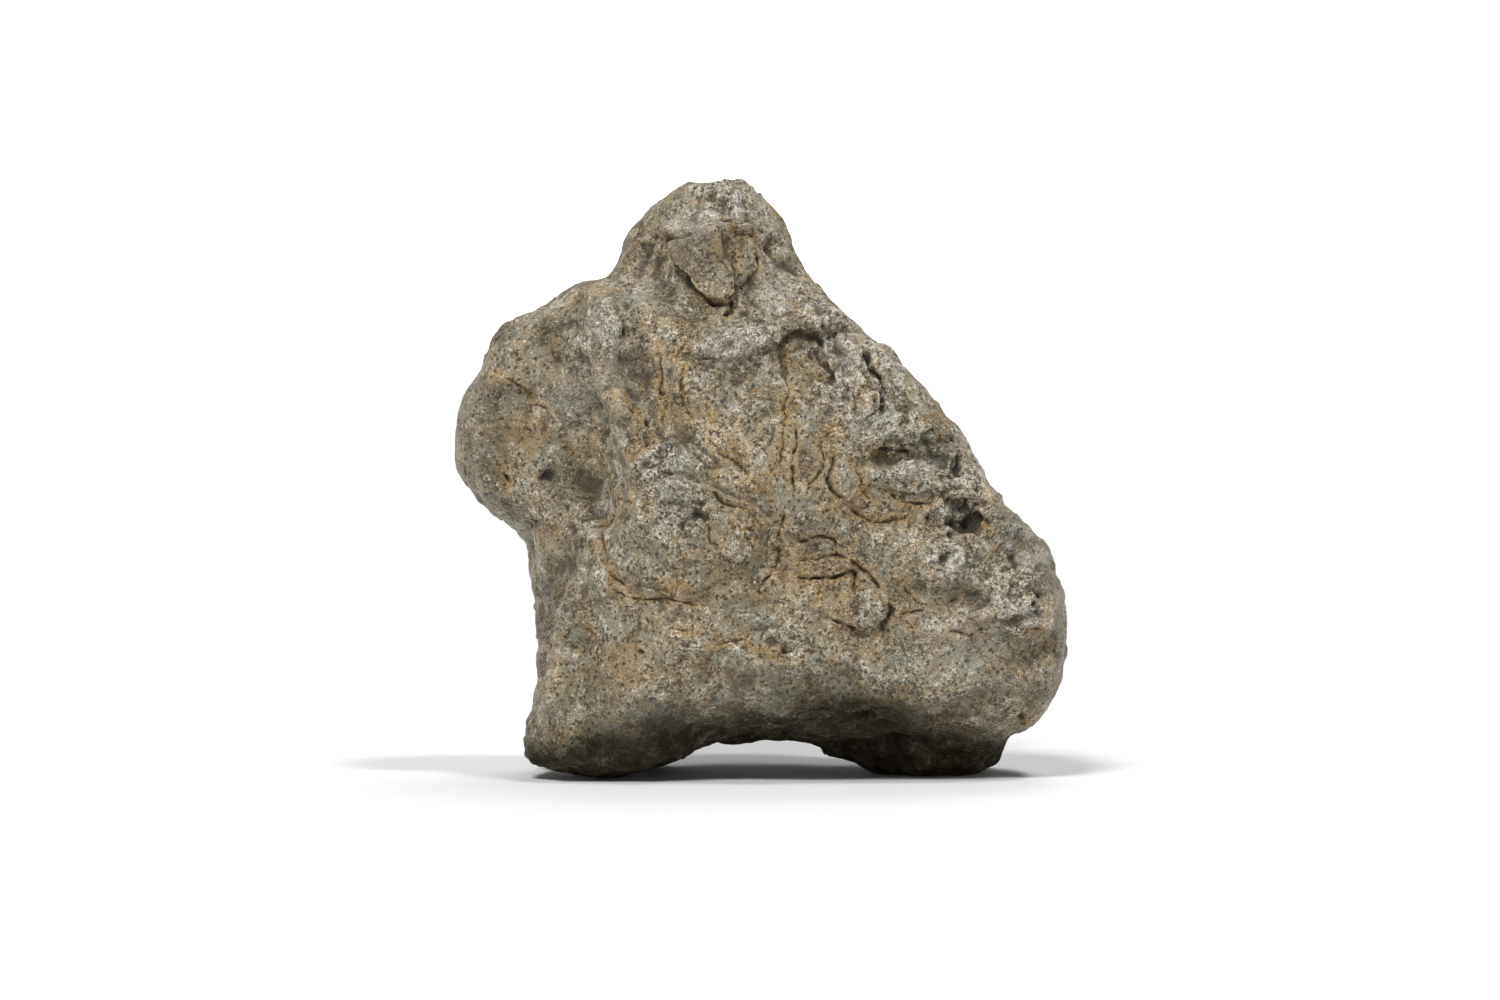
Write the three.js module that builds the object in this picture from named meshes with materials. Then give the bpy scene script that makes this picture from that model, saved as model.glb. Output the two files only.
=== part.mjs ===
// A small lunar meteorite: one irregular, wind-polished stone with a knob on top, a lobe set
// back on its left, a long slope on its right and a hollow underneath between its three feet.
// Millimetres, X to the right, Y away from the viewer, Z up. The origin is on the surface that
// the stone rests on, under the middle of its bounding box.
import * as THREE from "three";
import { ImprovedNoise } from "three/addons/math/ImprovedNoise.js";

// Driving dimensions of the finished stone.
const WIDTH = 25.4;
const DEPTH = 17.4;
const HEIGHT = 24.8;

// Size of the cells that the surface is sampled on, and how far a vertex stays from the sides
// of its cell, as a share of the cell.
const CELL = 0.76;
const INSET = 0.06;
// Room around the stone that is sampled too, in millimetres.
const MARGIN = 2.2;
// How often a vertex is drawn closer to the surface, and how often the grid is settled.
const PASSES = 3;

// Where the front of the stone was drawn from: places on the front are given as [across, up]
// in millimetres, as they look from this distance and height, at the scale of the origin.
const VIEW_DISTANCE = 300;
const VIEW_ELEVATION = THREE.MathUtils.degToRad(2);

// Outline seen from the front, clockwise from the top. A smooth closed curve runs through
// these points.
const OUTLINE_ROUNDING = 1.0;
const OUTLINE = [
  [-1.15, 24.85], [-0.4, 24.3], [0.2, 23.9], [0.85, 23.2], [1.45, 22.1], [1.65, 21.0],
  [2.15, 20.45], [2.8, 19.65], [3.65, 18.9], [4.95, 17.75], [5.65, 16.95], [6.35, 16.1],
  [7.3, 15.4], [7.95, 14.55], [8.6, 13.95], [9.15, 12.75], [9.45, 11.95], [10.0, 11.45],
  [10.9, 10.55], [11.85, 9.2], [12.35, 7.9], [12.7, 6.95], [12.62, 5.0], [12.4, 3.9],
  [11.9, 2.85], [11.1, 1.85], [10.2, 1.6], [9.95, 0.7], [8.9, -0.1], [6.8, -0.5],
  [4.3, -0.45], [3.15, 0.45], [2.1, 1.1], [0.6, 1.4], [-0.9, 1.3], [-2.7, 0.6],
  [-4.5, 0.05], [-6.0, -0.6], [-7.5, -0.15], [-9.4, 0.3], [-10.1, 1.0], [-9.6, 2.4],
  [-9.25, 3.9], [-9.4, 6.0], [-9.75, 8.6], [-9.9, 9.75], [-10.75, 10.3], [-11.6, 10.95],
  [-12.25, 12.0], [-12.8, 12.9], [-12.65, 14.4], [-12.3, 15.9], [-11.6, 16.95], [-11.3, 17.9],
  [-10.6, 18.8], [-9.55, 18.95], [-8.35, 19.8], [-7.4, 20.5], [-6.6, 20.4], [-5.95, 21.25],
  [-5.65, 22.2], [-5.1, 23.05], [-4.1, 23.85], [-3.2, 24.5], [-2.3, 24.55], [-1.7, 24.45],
];

// The three great masses, each a lump bounded by broad worn faces. A face is given by a point
// on it and the way that it faces.
const BODY = {
  rounding: 1.3,
  faces: [
    { name: "belly", at: [1, -8.6, 9], facing: [0.04, -1, -0.03] },
    { name: "upper front", at: [0, -7.9, 15.5], facing: [-0.02, -1, 0.16] },
    { name: "shoulder", at: [0, -5.6, 19.3], facing: [0.05, -0.6, 0.8] },
    { name: "chin", at: [2, -7.4, 3.2], facing: [0.06, -0.38, -0.92] },
    { name: "left chin", at: [-5, -6.9, 1.9], facing: [-0.1, -0.8, -0.6] },
    { name: "left flank", at: [-7.3, -6.2, 6.5], facing: [-0.92, -0.38, 0] },
    { name: "left ridge", at: [-6.0, -6.8, 15], facing: [-0.78, -0.6, 0.12] },
    { name: "right flank", at: [11.4, -5.9, 7], facing: [0.66, -0.74, 0.06] },
    { name: "right slope", at: [6.6, -0.5, 14.8], facing: [0.74, 0.34, 0.55] },
    { name: "right back", at: [9.6, 3.6, 6], facing: [0.82, 0.56, 0.1] },
    { name: "back", at: [2, 8.3, 7], facing: [0.22, 0.97, 0.12] },
    { name: "back ridge", at: [-4, 8.2, 9.5], facing: [-0.3, 0.95, 0.2] },
    { name: "upper back", at: [0.5, 4.6, 17.4], facing: [0.15, 0.8, 0.6] },
    { name: "left back", at: [-8.4, 5.0, 8], facing: [-0.76, 0.62, 0.02] },
    { name: "heel", at: [0, 6.6, 2.4], facing: [-0.1, 0.66, -0.74] },
    { name: "underside", at: [0, 0, 1.45], facing: [0, 0.02, -1] },
  ],
};
const KNOB = {
  rounding: 1.1,
  blend: 0.7,
  faces: [
    { name: "knob front", at: [-1.9, -5.0, 21.2], facing: [-0.05, -0.9, 0.44] },
    { name: "knob front left", at: [-4.6, -3.3, 21.3], facing: [-0.74, -0.56, 0.36] },
    { name: "knob front right", at: [0.7, -3.2, 21.3], facing: [0.7, -0.62, 0.34] },
    { name: "knob right", at: [1.7, 0.2, 21.3], facing: [0.95, 0.15, 0.3] },
    { name: "knob back", at: [-1.5, 2.9, 21], facing: [0.15, 0.84, 0.52] },
    { name: "knob back left", at: [-4.8, 1.4, 21], facing: [-0.74, 0.56, 0.36] },
    { name: "knob top", at: [-1.8, -0.8, 24.9], facing: [-0.1, -0.12, 1] },
    { name: "knob root", at: [-2, 0, 16], facing: [0, 0, -1] },
  ],
};
const LOBE = {
  rounding: 2.0,
  blend: 0.9,
  faces: [
    { name: "lobe front", at: [-9.8, -3.0, 14.5], facing: [-0.36, -0.92, 0.08] },
    { name: "lobe side", at: [-13.0, 1.2, 14.2], facing: [-1, 0.1, -0.05] },
    { name: "lobe top", at: [-10.0, 1.0, 19.6], facing: [-0.42, 0.1, 0.9] },
    { name: "lobe bottom", at: [-10.9, 1.0, 10.4], facing: [-0.45, -0.1, -0.88] },
    { name: "lobe back", at: [-9.8, 5.4, 14.5], facing: [-0.42, 0.88, 0.2] },
    { name: "lobe root", at: [-4, 0, 15], facing: [1, 0, 0] },
  ],
};

// Swells stand out of the masses. Each is an ellipsoid, and the feet are three of them.
const SWELLS = [
  { name: "left foot", at: [-6.5, -3.3, 1.7], radii: [4.1, 3.5, 2.5], blend: 1.0 },
  { name: "back foot", at: [-5.0, 4.0, 1.9], radii: [3.2, 3.0, 2.2], blend: 1.0 },
  { name: "right foot", at: [6.8, 1.0, 1.7], radii: [3.8, 4.2, 2.4], blend: 0.8 },
  { name: "right side knuckle", at: [9.4, 1.6, 8.6], radii: [2.4, 2.6, 1.7], blend: 0.9 },
  { name: "back shoulder", at: [3.4, 5.6, 13.6], radii: [3.2, 2.4, 1.8], blend: 0.9 },
  { name: "back rib", at: [-1.6, 7.6, 6.6], radii: [2.0, 1.6, 3.6], blend: 0.9 },
];

// Hollows worn into the stone. Each is an ellipsoid taken away.
const HOLLOWS = [
  { name: "lobe scoop", at: [-8.9, -7.4, 14.6], radii: [3.5, 5.6, 4.2], blend: 0.8 },
  { name: "recess under the lobe", at: [-10.2, -6.8, 6.4], radii: [3.0, 5.2, 3.6], blend: 0.7 },
  { name: "back dent", at: [3.2, 11.6, 11.5], radii: [4.6, 4.6, 5.0], blend: 0.9 },
  { name: "left back dent", at: [-6.0, 10.8, 6.0], radii: [4.0, 4.2, 3.6], blend: 0.9 },
  { name: "upper back dent", at: [-5.2, 9.6, 17.6], radii: [4.2, 4.2, 3.6], blend: 0.9 },
  { name: "right back dent", at: [12.6, 6.4, 5.4], radii: [4.4, 4.0, 2.8], blend: 0.9 },
  { name: "right side dent", at: [9.8, 1.2, 13.4], radii: [3.0, 3.4, 2.2], blend: 0.9 },
];

// Relief of the front, drawn as strokes along the points of a path: radius is the half width
// of the stroke, and rise is how far it stands out, or with a minus how deep it is cut. It is
// whole in front of the first of two depths and gone behind the second.
const RELIEF_FADES = [-4, 0];
const FRONT_RELIEF = [
  { name: "left ridge", path: [[-6.9, 19.8], [-6.9, 17.6], [-5.6, 14.9]], radius: 1.0, rise: 0.5 },
  { name: "left ridge end", path: [[-5.6, 14.9], [-5.1, 12.9]], radius: 1.0, rise: 0.5 },
  { name: "front hollow", path: [[-5.4, 18.0], [-5.0, 16.4], [-4.2, 14.9]], radius: 1.6, rise: -0.75 },
  { name: "shelf", path: [[-2.5, 18.1], [-0.4, 18.0], [1.4, 18.5], [3.2, 19.0]], radius: 1.0, rise: 0.6 },
  { name: "under the shelf", path: [[0.9, 17.2], [2.2, 17.6], [3.2, 18.1]], radius: 0.9, rise: -0.7 },
  { name: "tongue", path: [[-2.6, 21.7], [-1.2, 21.3], [-1.7, 19.8]], radius: 1.2, rise: 0.6 },
  { name: "right of the tongue", path: [[0.2, 21.6], [-0.3, 20.6]], radius: 0.9, rise: 0.3 },
  { name: "boss", path: [[-4.2, 9.9], [-1.6, 9.5]], radius: 2.5, rise: 0.75 },
  { name: "boss crown", path: [[-4.4, 11.2], [-2.9, 11.3]], radius: 1.0, rise: 0.35 },
  { name: "bump over the boss", path: [[-4.3, 12.8]], radius: 1.0, rise: 0.5 },
  { name: "dent in the boss", path: [[-2.3, 10.7]], radius: 0.9, rise: -0.5 },
  { name: "left rib", path: [[3.2, 17.6], [4.1, 15.2], [4.6, 13.6]], radius: 0.9, rise: 0.55 },
  { name: "right rib", path: [[4.9, 17.2], [6.2, 15.3]], radius: 0.9, rise: 0.4 },
  { name: "groove between ribs", path: [[4.3, 17.2], [5.2, 14.9]], radius: 0.8, rise: -0.4 },
  { name: "brow", path: [[5.4, 14.3], [7.6, 14.0]], radius: 1.0, rise: 0.35 },
  { name: "groove under the brow", path: [[4.9, 13.1], [7.8, 13.2]], radius: 0.85, rise: -0.7 },
  { name: "cheek", path: [[6.0, 12.0], [7.8, 12.0]], radius: 1.2, rise: 0.45 },
  { name: "large pit", path: [[8.6, 10.7]], radius: 1.05, rise: -1.3 },
  { name: "small pit", path: [[8.4, 13.1], [8.5, 12.6]], radius: 0.8, rise: -0.7 },
  { name: "right boss", path: [[6.6, 8.7]], radius: 1.7, rise: 0.5 },
  { name: "edge boss", path: [[10.8, 7.6]], radius: 1.5, rise: 0.45 },
  { name: "ledge", path: [[4.6, 6.9], [7.6, 6.4], [11.8, 6.4]], radius: 0.9, rise: 0.45 },
  { name: "under the ledge", path: [[5.2, 5.2], [8.2, 4.9], [11.4, 5.0]], radius: 1.1, rise: -0.4 },
  { name: "block", path: [[2.2, 8.6], [4.2, 8.4], [4.0, 6.9], [2.2, 7.0]], radius: 1.1, rise: 0.35 },
  { name: "crater", path: [[0.5, 5.3]], radius: 0.9, rise: -0.35 },
  { name: "central swell", path: [[0.6, 14.5], [1.2, 11.5]], radius: 2.4, rise: 0.5 },
  { name: "left foot ridge", path: [[-6.6, 8.3], [-8.1, 5.4], [-8.6, 2.6]], radius: 1.0, rise: 0.6 },
  { name: "belly swell", path: [[-3.2, 5.6], [0.5, 4.6]], radius: 2.2, rise: 0.35 },
  { name: "lobe pit", path: [[-8.8, 12.3]], radius: 0.9, rise: -0.5 },
  { name: "lobe groove", path: [[-10.9, 13.0], [-10.5, 11.8]], radius: 0.8, rise: -0.4 },
  { name: "lobe rim", path: [[-12.0, 13.4], [-10.6, 11.5], [-8.2, 10.6]], radius: 0.9, rise: 0.4 },
  { name: "lobe brow", path: [[-11.4, 16.6], [-9.4, 16.9], [-7.4, 15.9]], radius: 0.9, rise: 0.35 },
  { name: "knob crest", path: [[-1.0, 24.2], [-0.7, 22.6]], radius: 0.8, rise: 0.35 },
];

// Waves of the worn surface: wavelength and amplitude, and how far each is creased, from 0 for
// smooth swells to 1 for round lumps with sharp valleys between them.
const WAVES = [
  { length: 7.0, amplitude: 0.8, crease: 0 },
  { length: 4.2, amplitude: 0.6, crease: 0.5 },
  { length: 2.3, amplitude: 0.36, crease: 0.8 },
];

// Flat chips all over the stone: their size, how far they tilt, how sharply they meet and how
// far their middles are scattered, as a share of the size.
const CHIPS = { size: 4.2, tilt: 0.26, sharpness: 5, scattered: 0.6 };

// Unit steps along the three axes, and the cells around a cell with the cell itself.
const STEPS = [
  [1, 0, 0],
  [0, 1, 0],
  [0, 0, 1],
];
const AROUND = [-1, 0, 1].flatMap((i) =>
  [-1, 0, 1].flatMap((j) => [-1, 0, 1].map((k) => [i, j, k])),
);

const noise = new ImprovedNoise();
const plus = (a, b) => a.map((value, axis) => value + b[axis]);

function smoothMax(a, b, k) {
  const h = Math.max(k - Math.abs(a - b), 0) / k;
  return Math.max(a, b) + (h * h * k) / 4;
}

function smoothMin(a, b, k) {
  return -smoothMax(-a, -b, k);
}

// Signed distance to the outline in the front view, negative inside it.
const outlineLoop = new THREE.CatmullRomCurve3(
  OUTLINE.map(([x, z]) => new THREE.Vector3(x, 0, z)),
  true,
).getPoints(4 * OUTLINE.length);

function outlineDistance(x, z) {
  let nearest = Infinity;
  let inside = false;
  for (let i = 1; i < outlineLoop.length; i++) {
    const a = outlineLoop[i - 1];
    const b = outlineLoop[i];
    const dx = b.x - a.x;
    const dz = b.z - a.z;
    const along = ((x - a.x) * dx + (z - a.z) * dz) / (dx * dx + dz * dz || 1);
    const t = Math.min(Math.max(along, 0), 1);
    nearest = Math.min(nearest, Math.hypot(x - a.x - t * dx, z - a.z - t * dz));
    if (a.z > z !== b.z > z && x < a.x + ((z - a.z) / dz) * dx) inside = !inside;
  }
  return inside ? -nearest : nearest;
}

// Signed distance to a lump bounded by broad faces.
function lumpDistance({ rounding, faces }, p) {
  let most = -Infinity;
  for (const { at, facing: [nx, ny, nz] } of faces) {
    const ahead = (p.x - at[0]) * nx + (p.y - at[1]) * ny + (p.z - at[2]) * nz;
    most = smoothMax(most, ahead / Math.hypot(nx, ny, nz), rounding);
  }
  return most;
}

function ellipsoidDistance({ at, radii }, p) {
  const q = [p.x - at[0], p.y - at[1], p.z - at[2]];
  const k0 = Math.hypot(q[0] / radii[0], q[1] / radii[1], q[2] / radii[2]);
  const k1 = Math.hypot(q[0] / radii[0] ** 2, q[1] / radii[1] ** 2, q[2] / radii[2] ** 2);
  return k1 > 0 ? (k0 * (k0 - 1)) / k1 : -Math.min(...radii);
}

// Where a point of the stone is seen from the front, as [across, up] in millimetres.
function seenFromFront(p) {
  const height = p.z - HEIGHT / 2;
  const up = height * Math.cos(VIEW_ELEVATION) + p.y * Math.sin(VIEW_ELEVATION);
  const beyond = p.y * Math.cos(VIEW_ELEVATION) - height * Math.sin(VIEW_ELEVATION);
  const nearer = VIEW_DISTANCE / (VIEW_DISTANCE + beyond);
  return [p.x * nearer, up * nearer + HEIGHT / 2];
}

function pathDistance(path, x, z) {
  let nearest = Math.hypot(x - path[0][0], z - path[0][1]);
  for (let i = 1; i < path.length; i++) {
    const [ax, az] = path[i - 1];
    const [dx, dz] = [path[i][0] - ax, path[i][1] - az];
    const along = ((x - ax) * dx + (z - az) * dz) / (dx * dx + dz * dz);
    const t = THREE.MathUtils.clamp(along, 0, 1);
    nearest = Math.min(nearest, Math.hypot(x - ax - t * dx, z - az - t * dz));
  }
  return nearest;
}

function relief(strokes, [x, z]) {
  let height = 0;
  for (const { path, radius, rise } of strokes) {
    const d = pathDistance(path, x, z) / radius;
    if (d < 1) height += rise * (1 - d * d) ** 2;
  }
  return height;
}

function waves(p) {
  let height = 0;
  WAVES.forEach(({ length, amplitude, crease }, i) => {
    const n = noise.noise(p.x / length + 7.3 * i, p.y / length, p.z / length);
    height += amplitude * ((1 - crease) * n + crease * (2 * Math.abs(n) - 0.5));
  });
  return height;
}

// A number from 0 to 1 that looks random, always the same for the same cell and salt.
function scatter([i, j, k], salt) {
  const s = Math.sin(127.1 * i + 311.7 * j + 74.7 * k + 53.3 * salt) * 43758.5453;
  return s - Math.floor(s);
}

// Where the middle of a chip lies in its cell.
function middle(cell, axis) {
  return 0.5 + CHIPS.scattered * (scatter(cell, axis) - 0.5);
}

// Height of the flat chips: around each scattered point the surface tilts its own way.
function chips(p) {
  const q = [p.x, p.y, p.z].map((value) => value / CHIPS.size);
  const home = q.map(Math.floor);
  let height = 0;
  let total = 0;
  for (const step of AROUND) {
    const cell = plus(home, step);
    const offset = q.map((value, axis) => value - cell[axis] - middle(cell, axis));
    const far = offset.reduce((sum, value) => sum + value * value, 0);
    const weight = Math.exp(-CHIPS.sharpness * far);
    const tilts = offset.map((value, axis) => value * (2 * scatter(cell, axis + 3) - 1));
    height += weight * (tilts[0] + tilts[1] + tilts[2]);
    total += weight;
  }
  return total > 0 ? (CHIPS.tilt * CHIPS.size * height) / total : 0;
}

// Signed distance to the stone, in millimetres: negative inside it.
function stone(p) {
  let d = lumpDistance(BODY, p);
  for (const lump of [KNOB, LOBE]) d = smoothMin(d, lumpDistance(lump, p), lump.blend);
  for (const swell of SWELLS) d = smoothMin(d, ellipsoidDistance(swell, p), swell.blend);
  for (const hollow of HOLLOWS) d = smoothMax(d, -ellipsoidDistance(hollow, p), hollow.blend);
  const seen = seenFromFront(p);
  const front = 1 - THREE.MathUtils.smoothstep(p.y, ...RELIEF_FADES);
  d -= waves(p) + chips(p) + front * relief(FRONT_RELIEF, seen);
  return smoothMax(d, outlineDistance(...seen), OUTLINE_ROUNDING);
}

function gradient(f, p, step = 0.02) {
  const q = p.clone();
  const slope = (axis) => {
    q.copy(p)[axis] += step;
    const ahead = f(q);
    q.copy(p)[axis] -= step;
    return (ahead - f(q)) / (2 * step);
  };
  return new THREE.Vector3(slope("x"), slope("y"), slope("z"));
}

// The grid of corners that f is sampled at.
function sampled(f, { min, max }, cell) {
  const n = max.clone().sub(min).divideScalar(cell).ceil().addScalar(1).toArray();
  const at = ([i, j, k]) => (k * n[1] + j) * n[0] + i;
  const corner = (place) => new THREE.Vector3(...place).multiplyScalar(cell).add(min);
  const value = new Float64Array(n[0] * n[1] * n[2]);
  for (const place of places(n, 0)) value[at(place)] = f(corner(place));
  return { n, at, corner, value };
}

// The places of a grid, without as many layers of its outside as the margin says.
function* places(n, margin) {
  for (let k = margin; k < n[2] - margin; k++)
    for (let j = margin; j < n[1] - margin; j++)
      for (let i = margin; i < n[0] - margin; i++) yield [i, j, k];
}

// The two steps that span a cell face at right angles to an axis.
const across = (axis) => [STEPS[(axis + 1) % 3], STEPS[(axis + 2) % 3]];

// A cell face whose corners are inside and outside by turns would let two sheets of surface
// touch. The corner nearest to the surface changes sides there.
function settleSaddles({ n, at, value }) {
  for (const place of places(n, 1))
    for (let axis = 0; axis < 3; axis++) {
      const [u, v] = across(axis);
      const face = [place, plus(place, u), plus(plus(place, u), v), plus(place, v)].map(at);
      const [a, b, c, d] = face.map((index) => value[index] < 0);
      if (a !== c || b !== d || a === b) continue;
      const nearest = face.reduce((s, t) => (Math.abs(value[t]) < Math.abs(value[s]) ? t : s));
      value[nearest] *= -1;
    }
}

// A corner with all the corners next to it on the other side would be a loose crumb, or a
// bubble in the stone. It changes sides.
function dropCrumbs({ n, at, value }) {
  const beside = [...STEPS, ...STEPS.map((step) => step.map((i) => -i))];
  for (const place of places(n, 1)) {
    const inside = value[at(place)] < 0;
    const alone = beside.every((step) => value[at(plus(place, step))] < 0 !== inside);
    if (alone) value[at(place)] *= -1;
  }
}

// Middle of the places where the surface crosses the edges of a cell.
function crossing({ at, corner, value }, place) {
  const sum = new THREE.Vector3();
  let count = 0;
  for (let axis = 0; axis < 3; axis++) {
    const [u, v] = across(axis);
    for (const start of [place, plus(place, u), plus(place, v), plus(plus(place, u), v)]) {
      const end = plus(start, STEPS[axis]);
      const here = value[at(start)];
      const next = value[at(end)];
      if (here < 0 === next < 0) continue;
      sum.add(corner(start).lerp(corner(end), here / (here - next)));
      count++;
    }
  }
  return sum.divideScalar(count);
}

// Draws a point onto the surface where f is zero, a short way at a time.
function drawnOnto(f, p, reach) {
  for (let pass = 0; pass < PASSES; pass++) {
    const g = gradient(f, p);
    const move = THREE.MathUtils.clamp(f(p) / g.lengthSq(), -reach, reach);
    p.addScaledVector(g, -move);
  }
  return p;
}

// The four cells around each cell edge that the surface crosses, in the order that makes the
// quad between them face outwards.
function* crossedEdges({ n, at, value }) {
  for (const place of places(n, 1))
    for (let axis = 0; axis < 3; axis++) {
      const here = value[at(place)];
      if (here < 0 === value[at(plus(place, STEPS[axis]))] < 0) continue;
      const [u, v] = across(axis).map((step) => step.map((i) => -i));
      const cells = [place, plus(place, u), plus(plus(place, u), v), plus(place, v)];
      yield here > 0 ? cells.reverse() : cells;
    }
}

// The surface where f is zero, with one vertex in each cell that it passes through.
function surfaceOf(f, box, cell) {
  const grid = sampled(f, box, cell);
  for (let pass = 0; pass < PASSES; pass++) settleSaddles(grid);
  dropCrumbs(grid);
  const points = [];
  const indexOf = new Map();
  const vertex = (place) => {
    const key = grid.at(place);
    if (!indexOf.has(key)) {
      const p = drawnOnto(f, crossing(grid, place), cell / 4);
      const [near, far] = [INSET, 1 - INSET].map((share) => plus(place, [share, share, share]));
      p.clamp(grid.corner(near), grid.corner(far));
      indexOf.set(key, points.push(p) - 1);
    }
    return indexOf.get(key);
  };
  const triangles = [];
  for (const cells of crossedEdges(grid)) {
    const [a, b, c, d] = cells.map(vertex);
    const shorter = points[a].distanceTo(points[c]) < points[b].distanceTo(points[d]);
    triangles.push(...(shorter ? [a, b, c, a, c, d] : [b, c, d, b, d, a]));
  }
  return new THREE.BufferGeometry().setFromPoints(points).setIndex(triangles);
}

// Wears flat what would lie under the surface that the stone rests on.
function groundFlat(geometry) {
  const position = geometry.getAttribute("position");
  for (let i = 0; i < position.count; i++) position.setZ(i, Math.max(position.getZ(i), 0));
}

// Brings the stone to its driving dimensions, with the origin under the middle of its box.
function fitted(geometry) {
  geometry.computeBoundingBox();
  const { min, max } = geometry.boundingBox;
  const size = max.clone().sub(min);
  geometry.translate(-(min.x + max.x) / 2, -(min.y + max.y) / 2, -min.z);
  geometry.scale(WIDTH / size.x, DEPTH / size.y, HEIGHT / size.z);
  geometry.computeVertexNormals();
  return geometry;
}

const room = new THREE.Box3(
  new THREE.Vector3(-WIDTH / 2, -DEPTH / 2, 0),
  new THREE.Vector3(WIDTH / 2, DEPTH / 2, HEIGHT),
).expandByScalar(MARGIN);
const geometry = surfaceOf(stone, room, CELL);
groundFlat(geometry);
fitted(geometry);

const meteorite = new THREE.Mesh(
  geometry,
  new THREE.MeshStandardMaterial({ color: 0x6f6754, roughness: 0.5, metalness: 0 }),
);
meteorite.name = "meteorite";

const part = new THREE.Group();
part.add(meteorite);

export default part;
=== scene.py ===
import itertools
import math

import bpy
import numpy as np
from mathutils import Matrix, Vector


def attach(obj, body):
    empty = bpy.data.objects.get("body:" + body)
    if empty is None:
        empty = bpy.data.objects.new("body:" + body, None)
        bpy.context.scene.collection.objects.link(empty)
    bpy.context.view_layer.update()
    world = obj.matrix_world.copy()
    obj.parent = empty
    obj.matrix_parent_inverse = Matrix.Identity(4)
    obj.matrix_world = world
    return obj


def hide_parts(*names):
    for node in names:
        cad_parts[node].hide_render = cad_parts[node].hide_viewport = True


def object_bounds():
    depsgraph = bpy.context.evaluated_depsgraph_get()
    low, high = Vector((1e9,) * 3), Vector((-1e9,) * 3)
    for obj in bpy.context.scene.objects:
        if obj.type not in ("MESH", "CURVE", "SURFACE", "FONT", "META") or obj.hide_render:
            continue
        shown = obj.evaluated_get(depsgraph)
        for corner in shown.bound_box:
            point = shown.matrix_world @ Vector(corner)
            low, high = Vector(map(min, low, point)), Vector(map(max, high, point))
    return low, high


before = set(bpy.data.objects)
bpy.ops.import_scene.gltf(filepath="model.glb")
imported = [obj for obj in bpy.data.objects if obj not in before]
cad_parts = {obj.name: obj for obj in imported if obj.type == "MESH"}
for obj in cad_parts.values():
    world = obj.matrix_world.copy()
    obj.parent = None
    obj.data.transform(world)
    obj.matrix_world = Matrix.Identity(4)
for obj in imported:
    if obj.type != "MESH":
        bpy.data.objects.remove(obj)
cad_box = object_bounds()

MM = 0.001
HEIGHT = (cad_box[1][2] - cad_box[0][2]) / MM

# The camera, and the size of the view at the stone.
VIEW_DISTANCE = 300
VIEW_ELEVATION = math.radians(2)
VIEW_WIDTH = 62.5
VIEW_CENTRE = (-0.4, 0.0, 11.42)
SENSOR_WIDTH = 36

# Longest edges of the finished mesh: on the back, on the front, and as near as this to a crack, a
# plate's edge or a pit's rim. Rounds of cutting at most, and of smoothing.
EDGE_BACK = 0.40
EDGE_FRONT = 0.205
EDGE_DETAIL = 0.10
DETAIL_REACH = 0.10
CUT_ROUNDS = 5
SMOOTHING_ROUNDS = 2

# How much a point faces the camera, from -1 to 1, where the finer mesh starts, and where the
# drawn relief, and the drawn patches and painted shade and light, come in.
FINER_MESH = -0.1
DRAWN_RELIEF = (0.1, 0.45)
DRAWN_PATCHES_AND_SHADE = (-0.3, 0.1)

# Seeds of the random layers. Those of bends and patches are added to their layer's.
SEEDS = {"chips": 11, "nets": 31, "pits": 51, "wobbles": 71, "uneven": 76, "underside": 77, "rough": 81}
BEND_SEED = 20
PATCH_SEED = 40

# Swells of the surface all round: size, height and crease, from 1 for round lumps with sharp
# valleys between them, over 0 for smooth swells, to -1 for sharp crests.
SWELLS = [(3.4, 0.20, 0.5), (1.8, 0.10, 0.6)]

# Roughness of the surface: swells as above, and chipped flats with their size, the height between
# them and their tilt. Flats bend and blend over these parts of their size.
GRIT = [(0.9, 0.13, -0.7), (0.5, 0.10, 0.6), (0.28, 0.055, -0.4)]
CHIPS = [(1.5, 0.30, 0.6), (0.75, 0.22, 0.8), (0.42, 0.14, 0.8)]
CHIP_BEND = 0.12
CHIP_BLEND = 0.22
# Layers finer than this are on the front alone, where the mesh is fine enough for them.
FINEST_ALL_ROUND = 0.45
# Roughness away from the front, in patches of this size, and the least anywhere.
ROUGH_SHARES = (0.2, 0.6)
ROUGH_PATCH = 4.5
SMOOTHEST = 0.25

# Networks of hairline cracks all round: mesh size, depth, half width, share of the surface. They
# bend by this part of their mesh size, and come in patches of this many mesh sizes.
CRACK_NETS = [(3.1, 0.09, 0.02, 0.12), (1.5, 0.06, 0.018, 0.08)]
NET_BEND = 0.2
NET_PATCH = 1.7
# No groove in the mesh is narrower than this half width, and no dark line than the other.
NARROWEST = 0.065
THINNEST = 1e-3
# At this many half widths from a crack, nothing of it is left to see.
UNCRACKED = 1.6

# Scattered pits all round: spacing, radius of the largest, depth, share that are there. The
# material paints this much shade into them, except those smaller than this part of the largest.
PIT_FIELDS = [(3.0, 0.42, 0.26, 0.14), (1.3, 0.16, 0.12, 0.12), (0.6, 0.09, 0.07, 0.16)]
PIT_DARKNESS = 0.45
SMALLEST_DARK = 0.3

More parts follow.
